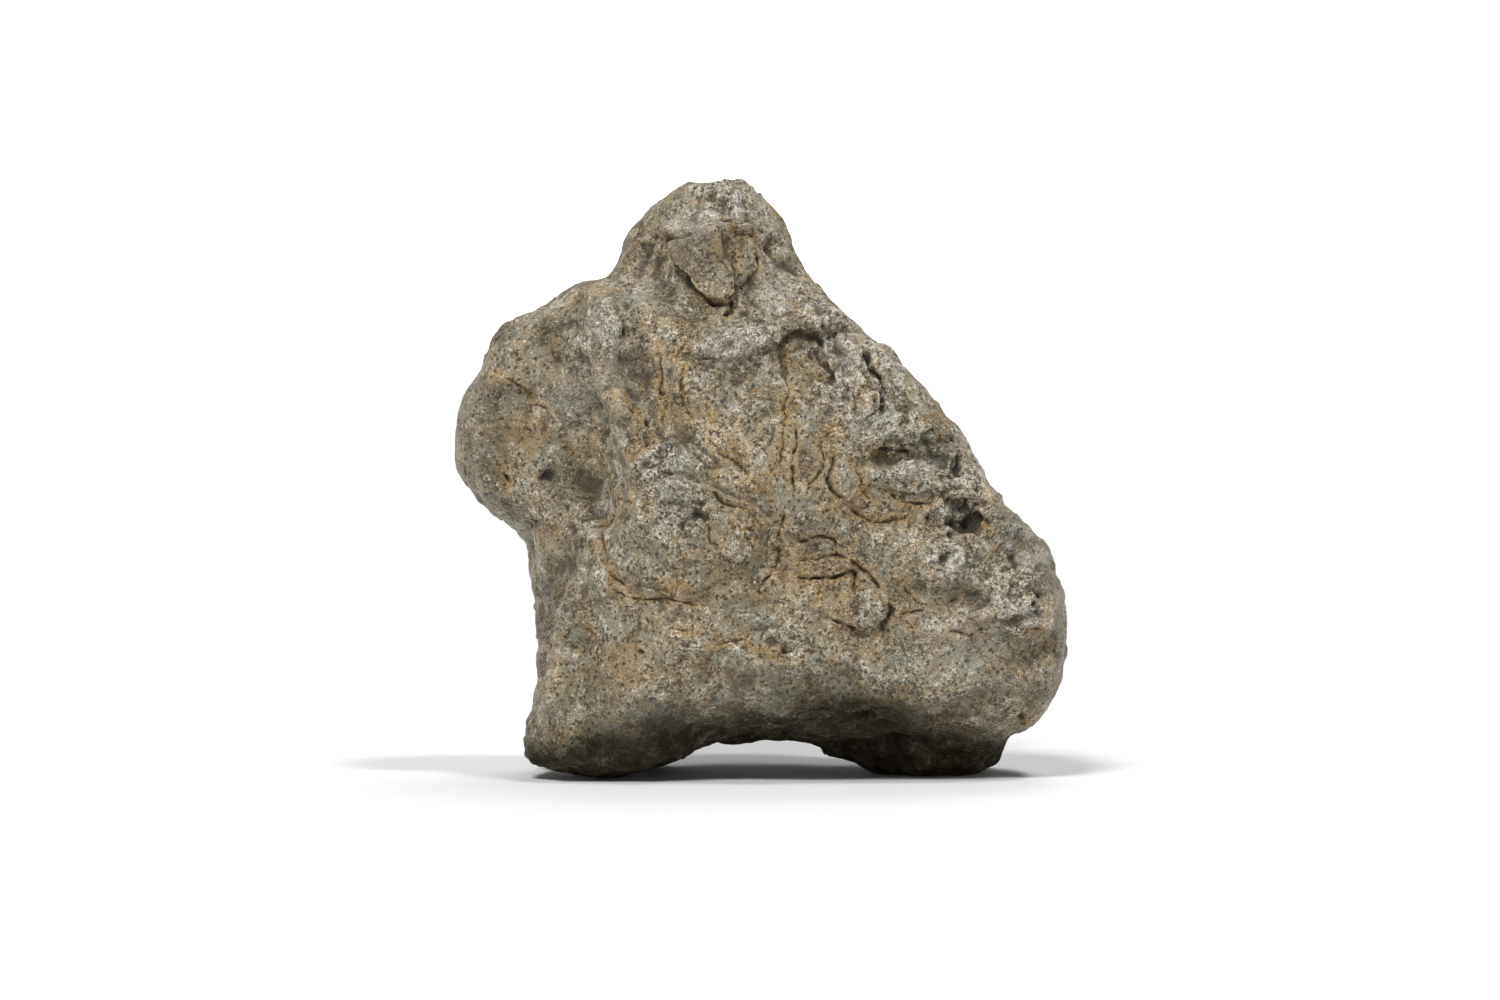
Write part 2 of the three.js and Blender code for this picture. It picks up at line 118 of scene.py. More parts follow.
# Front of the stone. All places are [across, up] as seen in the front view, at the scale of the
# origin. Cracks: half width, depth and path.
CRACKS = [
    (0.075, 0.34, [(-3.67, 22.3), (-3.6, 21.85), (-3.4, 21.4), (-3.1, 21.05), (-2.8, 20.7),
                   (-2.55, 20.25), (-2.2, 19.75), (-1.85, 19.55), (-1.5, 19.55)]),
    (0.10, 0.36, [(-1.2, 19.95), (-1.1, 19.4), (-1.5, 19)]),
    (0.12, 0.34, [(-3.7, 22.4), (-3.65, 21.9), (-3.5, 21.3)]),
    (0.09, 0.28, [(-4.2, 22.3), (-4.2, 21.7)]),
    (0.06, 0.22, [(-1.75, 22.45), (-1.65, 22.1), (-1.7, 21.6)]),
    (0.06, 0.24, [(-1.35, 21.75), (-1.25, 21.3), (-1.1, 20.9)]),
    (0.06, 0.20, [(-1.15, 22.6), (-0.95, 22.3), (-0.65, 22.15), (-0.4, 22.2)]),
    (0.05, 0.16, [(0, 22), (-0.05, 21.3), (-0.15, 20.9)]),
    (0.06, 0.20, [(-4.15, 17.8), (-4.2, 17.2), (-4.25, 16.1), (-4.1, 15.8), (-3.9, 15.8)]),
    (0.05, 0.16, [(-3.15, 18), (-3.35, 17.5), (-3.6, 17.2)]),
    (0.06, 0.20, [(-3.1, 17.2), (-3.15, 16.8), (-3.3, 16.4), (-3.2, 15.6), (-3.1, 15.15), (-2.9, 14.8)]),
    (0.05, 0.14, [(-3.9, 15.5), (-4.1, 14.6)]),
    (0.04, 0.10, [(-2.1, 15.3), (-2.1, 14)]),
    (0.06, 0.16, [(-5.8, 15.6), (-5.1, 14.95)]),
    (0.06, 0.16, [(-5.4, 13.2), (-5.05, 13.4), (-4.45, 13.9)]),
    (0.06, 0.24, [(1, 14.4), (0.9, 13.6), (0.75, 12.9), (0.4, 12.4)]),
    (0.07, 0.28, [(1.5, 14.45), (1.55, 13.75), (1.3, 13), (1.4, 12.5), (1.45, 11.85)]),
    (0.05, 0.18, [(1.2, 17.6), (1.1, 16.6), (1.2, 15.8), (1, 15.2), (1.05, 14.6)]),
    (0.05, 0.18, [(3, 14.4), (2.6, 13.8), (2.7, 13.2), (2.5, 12.5), (2, 11.9)]),
    (0.045, 0.14, [(-2.2, 14), (-1.5, 13.3), (-0.9, 12.9), (-0.4, 12.2), (0.2, 11.8)]),
    (0.05, 0.16, [(-6.3, 7.6), (-5.2, 7.2), (-4, 7.3), (-2.6, 7)]),
    (0.045, 0.14, [(5.9, 8.1), (6.3, 7.4), (7.2, 7), (8.3, 7.3)]),
    (0.045, 0.14, [(-2, 5.3), (-0.8, 5.6), (-0.1, 5.2)]),
    (0.05, 0.16, [(5.4, 11.8), (5.9, 11.3), (6.9, 11.2), (7.6, 11.5)]),
    (0.05, 0.16, [(-10.9, 16.6), (-9.9, 16.2), (-9.3, 15.4), (-8.4, 15)]),
    (0.07, 0.28, [(3.05, 13.35), (2.9, 12.25), (3, 11.75), (3.5, 11.4), (4.5, 10.55),
                  (5.1, 10.5), (6.1, 10.7)]),
    (0.06, 0.22, [(3.9, 12.85), (4.2, 12.25), (4.4, 11.65), (4.8, 11.25)]),
    (0.05, 0.16, [(-0.6, 12.6), (-0.6, 12.3)]),
    (0.07, 0.20, [(2.6, 10.95), (3.1, 11.05)]),
    (0.07, 0.24, [(-2, 11.7), (-1.6, 11.25), (-0.95, 11.1), (-0.4, 11)]),
    (0.06, 0.20, [(-1.1, 10.4), (-0.8, 10.1), (-0.4, 10.25), (0, 10.4)]),
    (0.06, 0.18, [(-0.8, 10.1), (-0.4, 9.6), (-0.2, 9.2)]),
    (0.07, 0.22, [(-2.3, 10.4), (-2.1, 10.1), (-2.05, 9.6), (-1.6, 9.65)]),
    (0.075, 0.26, [(0.5, 11.25), (0.9, 10.7), (0.85, 9.95), (0.75, 8.75), (0.3, 8.1), (0, 7.75),
                   (0, 7.4)]),
    (0.07, 0.22, [(-5.3, 11.6), (-4.6, 11.65)]),
    (0.07, 0.22, [(1.6, 9.65), (2.35, 9.85), (3.1, 9.8), (3.1, 9.35)]),
    (0.075, 0.26, [(1.5, 8.9), (2.25, 8.85), (3.1, 9.1), (3.9, 8.75), (4.6, 8.2), (4.95, 7.75)]),
    (0.075, 0.26, [(1.5, 8.15), (2.45, 8.1), (3.35, 8.25), (3.9, 8.45), (3.9, 7.45)]),
    (0.06, 0.20, [(2.45, 7.75), (2.3, 6.95)]),
    (0.07, 0.22, [(2.9, 6.45), (3.6, 6.3), (4.15, 5.9)]),
    (0.15, 0.55, [(5.4, 7.15), (5.5, 6.65), (5.2, 6.15), (4.9, 5.85)]),
    (0.06, 0.18, [(5.7, 6.6), (6.95, 6.85)]),
    (0.06, 0.16, [(6.2, 6.45), (6.4, 5.9)]),
    (0.07, 0.22, [(7.8, 6.1), (8.6, 5.95), (9.45, 6.1)]),
    (0.06, 0.18, [(11.1, 6.1), (11.75, 6.1)]),
    (0.08, 0.24, [(-5.3, 11.35), (-5.95, 11.2), (-6.25, 11.1), (-6.45, 10.35), (-6.4, 9.2),
                  (-6.1, 8.2), (-5.55, 7.8)]),
    (0.10, 0.30, [(2.5, 17.3), (2.9, 16.85)]),
    (0.08, 0.24, [(4.1, 17.8), (4.75, 16.8), (4.95, 16.4), (5.05, 15.55)]),
    (0.07, 0.20, [(4.25, 16.05), (4.25, 15.35)]),
    (0.12, 0.30, [(4.6, 13.25), (5.55, 13.4), (6.25, 13.3)]),
    (0.10, 0.28, [(-8.4, 5.6), (-8.5, 4.75), (-8.55, 3.85)]),
    (0.12, 0.26, [(-10.9, 12.9), (-10.45, 11.9)]),
    (0.10, 0.22, [(-3.5, 6), (-3.1, 5.9), (-2.65, 6)]),
    (0.14, 0.34, [(0.55, 17.7), (1.15, 18), (1.85, 18.4)]),
]

# Plates that stand out of the front: how far, how wide their edge is, and their outline.
RAISED = [
    (0.52, 0.16, [(-3.5, 22.2), (-2.6, 22.35), (-1.7, 22.4), (-1.65, 21.6), (-1.35, 20.9),
                  (-1.2, 20.1), (-1.5, 19.65), (-2.2, 19.85), (-2.8, 20.8), (-3.4, 21.5)]),
    (0.40, 0.16, [(-1.5, 22.3), (-0.4, 22.1), (-0.2, 21), (-0.9, 20.4), (-1.15, 20.8), (-1.35, 21.6)]),
    (0.20, 0.7, [(-5.9, 11.1), (-4.6, 11.5), (-2.2, 11.5), (-1.2, 10.6), (-0.3, 9.2), (-1.4, 8.2),
                 (-3.4, 7.6), (-5.5, 7.9), (-6.3, 9.2)]),
    (0.20, 0.4, [(-4.9, 11.6), (-3.4, 12), (-2.1, 11.7), (-1.7, 11.2), (-2.7, 10.2),
                 (-4.2, 10.1), (-4.9, 10.8)]),
    (0.14, 0.15, [(1.6, 8.8), (3.1, 9), (3.9, 8.6), (3.2, 8.3), (2.4, 8.2), (1.6, 8.3)]),
    (0.18, 0.2, [(1.9, 8), (3.8, 8.2), (4.9, 7.7), (5.2, 6.6), (4.2, 6), (3, 6.5), (2, 7)]),
    (0.18, 0.25, [(3.1, 13.2), (3.9, 12.8), (4.7, 11.4), (4.2, 11), (3.1, 11.8)]),
    (0.12, 0.3, [(1, 11), (2.4, 11.2), (3.3, 10.6), (3.1, 9.9), (1.6, 9.8), (1, 10.2)]),
    (0.26, 0.35, [(-2.4, 18.4), (-0.4, 18.5), (1.1, 18.8), (2.9, 19.1), (3.4, 18.7), (1.9, 18.5),
                  (0.6, 17.9), (-1.4, 17.3), (-2.9, 17.4)]),
    (0.26, 0.25, [(2.7, 18), (3.9, 17.8), (4.6, 16.6), (4.9, 15.2), (4.2, 14.6), (3.9, 15.9),
                  (2.9, 16.9)]),
    (0.22, 0.4, [(5.3, 12.55), (7.4, 12.55), (7.6, 12), (6.4, 11.6), (5, 12)]),
    (0.16, 0.4, [(7, 9.9), (8.2, 9.6), (8.5, 8.6), (7.9, 7.8), (6.8, 7.9), (6.4, 9)]),
]

# Rounded ridges of the front, and with a minus rounded grooves: rise, half width and path.
RIDGES = [
    (0.34, 0.16, [(-1, 24.1), (-0.95, 23.5), (-0.9, 22.9), (-0.5, 22.5)]),
    (0.26, 0.22, [(-3.7, 22.6), (-3.2, 22.65), (-2.6, 22.6), (-1.8, 22.7), (-0.9, 22.6), (-0.2, 22.3)]),
    (-0.36, 0.16, [(-3.7, 22.2), (-3.2, 22.25), (-2.4, 22.25), (-1.7, 22.3)]),
    (-0.40, 0.16, [(-3.75, 22.2), (-3.6, 21.5), (-3.2, 20.85), (-2.75, 20.2)]),
    (-0.22, 0.18, [(-4.4, 22.3), (-4.7, 21.5), (-5, 20.9)]),
    (0.26, 0.2, [(-5.2, 22.4), (-5.4, 21.6)]),
    (-0.30, 0.28, [(0.5, 22.2), (0.8, 21.5), (1.5, 21)]),
    (0.16, 0.2, [(-0.2, 20.7), (0.2, 20.2), (0.8, 19.8)]),
    (0.55, 0.30, [(-6.7, 10), (-7.1, 8.4), (-7.8, 7), (-8.25, 5.7), (-8.6, 4.4), (-8.5, 2.8)]),
    (-0.60, 0.50, [(-8.2, 8.6), (-8.6, 7.4), (-9.1, 5.6), (-9.35, 3.8)]),
    (0.30, 0.14, [(2.7, 18.1), (2.85, 17.5), (2.9, 16.9)]),
    (0.32, 0.14, [(3.3, 17.8), (3.95, 17.1), (4.1, 16.2)]),
    (0.30, 0.14, [(3.1, 15.3), (3.7, 15), (4.35, 14.5)]),
    (0.26, 0.13, [(4.7, 14.4), (5.3, 15), (5.9, 15.6)]),
    (0.22, 0.12, [(4.5, 16.2), (4.85, 15.3), (4.8, 14.8)]),
    (-0.34, 0.13, [(2.45, 17.6), (2.7, 17), (3, 16.4)]),
    (-0.40, 0.14, [(4, 18), (4.45, 17.2), (4.75, 16.6), (5.15, 15.3)]),
    (-0.24, 0.14, [(0.9, 18.4), (0.95, 17.6), (1, 16.7)]),
    (-0.20, 0.20, [(4.4, 12.95), (5.9, 13.2), (7.8, 13.1)]),
    (0.24, 0.2, [(5, 12.5), (6.2, 12.4), (7.5, 12)]),
    (0.24, 0.15, [(9.7, 7.1), (10.5, 6.7)]),
    (0.24, 0.14, [(10.4, 6.2), (11.2, 6.35), (11.9, 6.2)]),
    (-0.24, 0.14, [(9.9, 6.4), (10.8, 6.45), (11.6, 6.7)]),
    (0.24, 0.16, [(-5.1, 12.6), (-4.9, 13.3), (-4.1, 13.6), (-3.6, 13.1)]),
    (0.22, 0.14, [(-3.2, 13.6), (-2.6, 12.8), (-2.4, 12.3)]),
    (0.20, 0.12, [(-2.9, 13.8), (-2.1, 13)]),
    (-0.24, 0.14, [(-4.6, 12.9), (-3.9, 12.5), (-3.2, 12.5)]),
    (0.24, 0.15, [(-4.7, 10.6), (-4.6, 11.4), (-3.7, 11.9), (-2.5, 11.9), (-1.5, 11.5), (-0.4, 11)]),
    (-0.22, 0.18, [(-3.9, 11.2), (-3, 11), (-2.2, 10.4)]),
    (0.18, 0.14, [(-0.1, 5.7), (0.6, 5.85), (1.3, 5.4)]),
    (0.16, 0.16, [(-5.3, 20.5), (-6.9, 19.1), (-6.8, 17.3), (-6.1, 15.8), (-5.2, 14.4)]),
    (-0.24, 0.2, [(1.2, 18.1), (2.2, 18.2), (3, 17.6)]),
    (-0.35, 0.22, [(3.6, 16.7), (4.2, 16.5)]),
    (0.12, 0.4, [(-6.6, 19.4), (-6.4, 18.2), (-5.9, 16.8)]),
    (0.22, 0.3, [(7.5, 9.7), (8.05, 9.25), (8.3, 8.7), (7.9, 8.3)]),
    (0.22, 0.3, [(11.1, 8.3), (11.75, 7.9)]),
    (-0.30, 0.5, [(-3, 14.2), (-2.2, 13.2), (-1, 12.9)]),
    (0.20, 0.4, [(-0.2, 13.5), (0.3, 12)]),
    (-0.30, 0.6, [(-7.4, 12.4), (-6.4, 10.8)]),
    (0.25, 0.35, [(-11.4, 16.2), (-9.6, 16.4), (-8.4, 15.4)]),
]

# Soft rises of the front, and with a minus hollows: rise, place, half width and half height.
FORMS = [
    (0.85, (-8.2, 15.4), 1.6, 2.4),
    (-0.30, (-11.2, 14.2), 1, 1.7),
    (0.45, (-5.9, 18.7), 0.35, 0.8),
    (-0.40, (-6.7, 18.4), 0.4, 1.3),
    (0.25, (-0.75, 22.6), 0.4, 0.25),
    (0.15, (-3.4, 9.6), 2.4, 1.7),
    (0.35, (-1.9, 7.7), 1.7, 0.8),
    (0.45, (-6.2, 14.3), 0.55, 2.2),
    (0.50, (-7.3, 15), 0.8, 1.6),
    (0.35, (7.6, 5.6), 2.4, 0.9),
    (-0.30, (-7.9, 9.9), 0.7, 1),
    (-0.35, (-9.3, 6.5), 0.7, 2.6),
    (-0.25, (-5.2, 16.2), 0.9, 1.5),
    (0.25, (6.6, 8.6), 1.1, 0.9),
    (0.35, (-4.25, 12.8), 0.9, 0.8),
    (-0.25, (6.6, 13.6), 1.2, 0.5),
    (0.20, (0.55, 5.4), 0.7, 0.5),
]

# Where the front is rough: across, up, radius and strength.
ROUGH = [
    (-1.6, 23.8, 1.5, 1), (-4.4, 21.7, 0.8, 0.9), (0.3, 21.9, 0.9, 0.8), (-6.6, 18.4, 1.5, 0.8),
    (-0.6, 18, 2, 0.8), (2.4, 18.6, 1.6, 1), (4, 16.4, 1.9, 1), (5.6, 14.8, 1.4, 0.9),
    (6.6, 12.8, 1.6, 0.9), (8.4, 11.6, 1.6, 1), (8, 9, 1.4, 0.8), (10.6, 7.6, 1.7, 1),
    (10.4, 9.6, 1.2, 0.8), (-4.2, 12.9, 1.3, 1), (-3.4, 11.2, 1.5, 1), (4.6, 6.8, 1.3, 0.7),
    (-0.6, 9.9, 1, 0.7), (-7.4, 10.6, 1.2, 0.6), (3.4, 12.2, 1.2, 0.5), (-3.4, 16.4, 1.4, 0.5),
]

# Pits of the front: place, half width, half height, depth.
PITS = [
    ((8.25, 11.15), 0.5, 0.42, 0.3),
    ((8.6, 10.4), 0.6, 0.5, 0.38),
    ((9.45, 10.6), 0.4, 0.2, 0.25),
    ((8, 10.5), 0.3, 0.25, 0.25),
    ((8.25, 12.95), 0.22, 0.42, 0.5),
    ((-3.6, 18.1), 0.14, 0.14, 0.25),
    ((-4.6, 14.6), 0.16, 0.14, 0.25),
    ((3.4, 15.2), 0.24, 0.12, 0.3),
    ((-8.8, 12.4), 0.26, 0.3, 0.4),
    ((-9.6, 10.4), 0.25, 0.2, 0.3),
    ((-8.3, 7.5), 0.3, 0.3, 0.3),
    ((-4.9, 5.1), 0.18, 0.14, 0.22),
    ((0.55, 5.35), 0.6, 0.5, 0.12),
    ((1.05, 5.1), 0.26, 0.14, 0.3),
    ((4.45, 2.4), 0.26, 0.2, 0.35),
    ((11, 2.25), 0.2, 0.2, 0.3),
    ((11.6, 7.5), 0.17, 0.17, 0.3),
    ((11.5, 7), 0.18, 0.18, 0.3),
    ((7.6, 8.9), 0.3, 0.28, 0.35),
    ((-2.7, 10.7), 0.42, 0.38, 0.3),
]

# Edge of the painted shade on the underside, as seen on the front, and its height elsewhere.
UNDERSIDE = [
    (-9.5, 1.9), (-7.5, 2.1), (-5.7, 2.5), (-3.9, 2.8), (-2.5, 2.9), (-1.4, 3.1), (0.3, 3.3), (2, 4.1),
    (3.7, 4.2), (5.4, 3.6), (7.1, 2.8), (8.8, 2.2), (10, 1.9),
]
UNDERSIDE_ELSEWHERE = 1.6

# Marks of the front: across, up, radius and strength. Orange-brown rust stains; dark patches,
# partly the stone's own colour and partly painted shade; and pale patches, partly its own
# colour and partly painted light.
RUSTY = [
    (-9.5, 15.4, 0.4, 1), (-9.9, 14.2, 1.1, 0.8), (4.9, 7.3, 0.35, 1), (7.5, 5.7, 0.4, 0.9),
    (2, 8.9, 0.6, 0.8), (3.3, 7.2, 0.5, 0.7), (5.4, 6.1, 0.5, 0.9), (-1, 13.4, 0.8, 0.7),
    (-5.4, 4.6, 1.2, 0.8), (-3.6, 7.6, 0.9, 0.8), (-2.7, 20.25, 0.4, 1),
    (9.45, 10.15, 0.3, 1), (-9, 9.9, 0.8, 0.7), (-3.2, 14.9, 0.9, 0.6), (1.6, 8, 0.9, 0.7),
    (-8.6, 17, 0.9, 0.4), (11, 2.3, 0.3, 1), (2.9, 6.8, 0.8, 0.6), (-7, 13.2, 1, 0.5),
    (-1.2, 8, 1.1, 0.5), (0.6, 4.9, 0.5, 0.8), (-6.2, 14.9, 0.7, 0.5),
]
DIM = [
    (-10.9, 14.2, 1.6, 0.4), (-8.7, 7.6, 0.8, 0.6), (-9.4, 6.2, 0.8, 0.6), (-3.3, 11.1, 0.8, 0.45),
    (-9.5, 4.6, 0.6, 0.5), (-11.2, 13.6, 1.1, 0.5), (-6.3, 17.4, 0.5, 0.5), (-5.9, 16.4, 0.45, 0.5),
    (-11.4, 15.6, 0.7, 0.4), (-3, 21.9, 0.7, 0.4), (-1.8, 21.9, 0.9, 0.4), (-2.4, 10.2, 1.1, 0.3),
    (-0.8, 3.9, 0.7, 0.6), (0.6, 4, 0.7, 0.6), (-7.4, 11.9, 0.6, 0.35), (2.4, 9.9, 0.9, 0.25),
    (-2.3, 21.7, 0.9, 0.3), (-5.2, 17.2, 0.9, 0.35), (1.5, 18.4, 0.7, 0.5), (0.9, 17.8, 0.4, 0.5),
    (0.9, 21.6, 0.8, 0.25), (-6.4, 3.3, 1.2, 0.3), (6.6, 13.4, 1, 0.2), (3.4, 17, 0.4, 0.4),
    (-10.9, 18.6, 0.7, 0.3), (10.6, 9.8, 1.1, 0.35), (12, 8, 0.8, 0.45), (-5, 1.3, 2, 0.6),
    (5.5, 1.3, 1.6, 0.6), (-8.3, 12.2, 0.8, 0.25), (0, 11.5, 0.8, 0.2),
]
PALE = [
    (-0.98, 23.9, 0.25, 0.7), (-0.9, 23.2, 0.25, 0.7), (-3.6, 22.8, 0.4, 0.5), (-2.4, 23, 0.8, 0.3),
    (-8, 6.9, 0.3, 0.5), (-8.5, 5.8, 0.3, 0.5), (-8.6, 4.2, 0.3, 0.45), (-3.2, 12.9, 0.5, 0.4),
    (-6.6, 18.6, 0.8, 0.35), (-7.8, 15.6, 1.5, 0.3), (8, 5.7, 2, 0.2), (-3.2, 20.2, 0.5, 0.2),
    (0.6, 20, 0.8, 0.4), (-5, 20.4, 0.7, 0.35), (-3.8, 12, 0.6, 0.35), (11.4, 8.9, 0.5, 0.3),
    (8.1, 8.6, 0.6, 0.3), (5, 16, 0.5, 0.35), (-1.08, 15.38, 0.3, 1), (-6.8, 9.9, 0.3, 0.8),
    (-7.2, 9, 0.32, 0.8), (-6.55, 8.4, 0.3, 0.7), (-8, 5.05, 0.3, 0.7), (-6.55, 11.2, 0.35, 0.5),
    (10.1, 7, 0.5, 0.35), (11.2, 6.5, 0.4, 0.35), (-1.3, 17.9, 1, 0.3), (3.6, 16.6, 0.6, 0.3),
    (6.2, 12.7, 0.35, 0.6), (7, 12.9, 0.35, 0.6), (6, 12.4, 0.35, 0.5), (4, 14.7, 0.4, 0.4),
    (2.8, 17.7, 0.3, 0.6), (3.7, 17.3, 0.35, 0.6), (3.4, 15.2, 0.35, 0.5), (5.3, 15, 0.35, 0.45),
    (-7.2, 14.8, 0.7, 0.35), (0.1, 2.9, 0.6, 0.25),
]

# Soft parallel lights: where each comes from, how wide it is in degrees, and its strength. The
# sky is an even white.
LIGHTS = [
    ("key", (-0.22, -0.68, 0.70), 14, 2.9),
    ("glint", (0.30, -0.30, 0.90), 8, 1.3),
    ("back", (0.10, 0.50, 0.86), 25, 0.9),
]
SKY = 0.2

# Lines of the front run a little unevenly: sizes and reaches of their wobbles. The edges of
# the drawn rough parts, rust, and dark and pale patches stray this many times further.
WOBBLES = [(0.6, 0.10), (0.22, 0.04)]
STRAY = {"rough": 5, "rusty": 4, "pale": 2, "dim": 3}
# Beyond this, a line of the front has no part in the relief.
FAR = 1.6

# Size of the random heights that make cracks and pits of the front uneven. A crack's opening is
# a base and a gain for them, within limits.
UNEVEN = 0.5
OPENING = (0.8, 1.4)
OPENING_LIMITS = (0.2, 1.2)
# A crack closes over its taper at its ends. How much of its depth is cut and how much its lips
# rise, their place in grooves, how much of its width is dark, and the rust beside it.
CRACK_TAPER = 0.3
CUT_DEPTH = 0.7
LIP_HEIGHT = 0.08
LIP_PLACE = 2.5
DARK_LINE = 0.55
RUST_REACH = 0.3
CRACK_RUST = 0.9
# Pits of the front: how ragged they are, their rim by height as a part of the depth, place and
# width in radii, and how deep one is whose painted shade is full.
PIT_RAGGED = 0.8
PIT_RIM = (0.15, 1.3, 0.25)
DARK_DEPTH = 0.4

# The feet stay as they are packed: the relief fades in up to this height.
FOOT_HEIGHT = 0.7
# The edge of the painted shade on the underside: size and height of its waves, how far it fades
# above and below, and how much the stone faces down where the front's line counts, and where it ends.
UNDERSIDE_WAVE = (1.6, 0.4)
UNDERSIDE_SOFT = (-0.9, 1.1)
FACES_DOWN = (0.2, 0.6)
FACES_UP = (-0.8, -0.1)
# Ridges and hollows are told by their height over the surface after this much smoothing, in a
# range of this height. The material paints highlights on the ridges and shade in the hollows.
CONVEXITY_ROUNDS = 8
CONVEXITY_RANGE = 0.16


def lattice(cell, salt):
    """Numbers from 0 to 1 that look random, always the same for the same cells. The large odd
    numbers only mix the bits."""
    x, y, z = np.moveaxis(cell.astype(np.int64), -1, 0)
    mixed = (x * 374761393 + y * 668265263 + z * 2147483629 + salt * 1274126177) & 0xFFFFFFFF
    mixed = ((mixed ^ (mixed >> 13)) * 1274126177) & 0xFFFFFFFF
    return ((mixed ^ (mixed >> 16)) & 0xFFFFFF) / 0x1000000


def smooth(value, low, high):
    """0 below low, 1 above high and a smooth rise between them."""
    t = np.clip((value - low) / (high - low), 0, 1)
    return t * t * (3 - 2 * t)


def hump(distance, width):
    """1 at no distance, falling off smoothly over the width."""
    return np.exp(-(distance / width) ** 2)


def turned(points, salt):
    """The points turned about an axis of their own, so that layers of noise don't line up."""
    axis = Vector((math.sin(salt * 2.1), math.cos(salt * 1.3), math.sin(salt * 0.7 + 1)))
    turn = np.array(Vector((0, 0, 1)).rotation_difference(axis.normalized()).to_matrix())
    return points @ turn.T


def noise(points, size, salt):
    """Smooth random heights from about -1 to 1, with swells of about that size."""
    q = turned(points, salt) / size
    low = np.floor(q)
    part = q - low
    ease = part**3 * (part * (part * 6 - 15) + 10)
    total = np.zeros(len(points))
    for step in itertools.product((0, 1), repeat=3):
        weight = np.prod(np.where(step, ease, 1 - ease), axis=1)
        for axis in range(3):
            slope = 2 * lattice(low + step, 3 * salt + axis) - 1
            total += weight * slope * (part[:, axis] - step[axis])
    full_range = 1.6
    return full_range * total


def cells(points, size, salt):
    """Distances to the nearest and second nearest of many scattered places, and a random
    number from 0 to 1 for the nearest."""
    q = turned(points, salt) / size
    home = np.floor(q)
    nearest = np.full(len(points), np.inf)
    second = np.full(len(points), np.inf)
    mark = np.zeros(len(points))
    for step in itertools.product((-1, 0, 1), repeat=3):
        cell = home + step
        place = cell + np.stack([lattice(cell, 5 * salt + axis) for axis in range(3)], axis=1)
        distance = np.linalg.norm(place - q, axis=1)
        closer = distance < nearest
        second = np.where(closer, nearest, np.minimum(second, distance))
        mark = np.where(closer, lattice(cell, 5 * salt + 3), mark)
        nearest = np.minimum(nearest, distance)
    return nearest * size, second * size, mark


def chipped(points, size, tilt, salt):
    """Heights of flats of about that size, each at a level and a tilt of its own."""
    q = turned(points, salt) / size
    home = np.floor(q)
    nearest, second = (np.full(len(points), np.inf) for _ in range(2))
    level, next_level = (np.zeros(len(points)) for _ in range(2))
    for step in itertools.product((-1, 0, 1), repeat=3):
        cell = home + step
        random = [lattice(cell, 7 * salt + number) for number in range(7)]
        offset = q - cell - np.stack(random[:3], axis=1)
        distance = np.linalg.norm(offset, axis=1)
        lean = (offset * (2 * np.stack(random[3:6], axis=1) - 1)).sum(axis=1)
        here = random[6] - 0.5 + tilt * lean
        closer = distance < nearest
        between = ~closer & (distance < second)
        next_level = np.where(closer, level, np.where(between, here, next_level))
        second = np.where(closer, nearest, np.minimum(second, distance))
        level = np.where(closer, here, level)
        nearest = np.minimum(nearest, distance)
    meet = (1 - smooth(second - nearest, 0, CHIP_BLEND)) / 2
    return level + (next_level - level) * meet


def seen_from_front(points):
    """[across, up] of each point as the camera sees it, at the scale of the origin."""
    x, y, z = points.T
    height = z - HEIGHT / 2
    up = height * math.cos(VIEW_ELEVATION) + y * math.sin(VIEW_ELEVATION)
    beyond = y * math.cos(VIEW_ELEVATION) - height * math.sin(VIEW_ELEVATION)
    nearer = VIEW_DISTANCE / (VIEW_DISTANCE + beyond)
    return np.stack([x * nearer, up * nearer + HEIGHT / 2], axis=1)


def curved(path, parts=4):
    """More points of a path, on a smooth curve through its points."""
    points = np.array([path[0], *path, path[-1]])
    t = np.arange(parts)[:, None] / parts
    curve = []
    for a, b, c, d in zip(points, points[1:], points[2:], points[3:]):
        bend = (2 * a - 5 * b + 4 * c - d) * t**2 + (3 * b - a - 3 * c + d) * t**3
        curve.append(b + ((c - a) * t + bend) / 2)
    return np.concatenate([*curve, points[-1:]])


def path_distance(seen, path):
    """Distance of each place to a line through the points of a path, infinite where the line is
    too far off to matter, and the distance along the path to its nearer end."""
    path = np.array(path)
    near = ((seen > path.min(axis=0) - FAR) & (seen < path.max(axis=0) + FAR)).all(axis=1)
    place = seen[near]
    nearest = np.full(len(place), np.inf)
    along = np.zeros(len(place))
    passed = 0.0
    for start, step in zip(path, np.diff(path, axis=0)):
        length = np.linalg.norm(step)
        t = np.clip((place - start) @ step / length**2, 0, 1)
        distance = np.linalg.norm(place - start - t[:, None] * step, axis=1)
        along = np.where(distance < nearest, passed + t * length, along)
        nearest = np.minimum(nearest, distance)
        passed += length
    away = np.full(len(seen), np.inf)
    away[near] = nearest
    to_end = np.zeros(len(seen))
    to_end[near] = np.minimum(along, passed - along)
    return away, to_end


def inside(seen, outline):
    """Whether each place is inside a closed outline."""
    within = np.zeros(len(seen), bool)
    x, z = seen.T
    for (ax, az), (bx, bz) in zip(outline, outline[1:] + outline[:1]):
        if az == bz:
            continue
        crosses = (az > z) != (bz > z)
        within ^= crosses & (x < (bx - ax) * (z - az) / (bz - az) + ax)
    return within


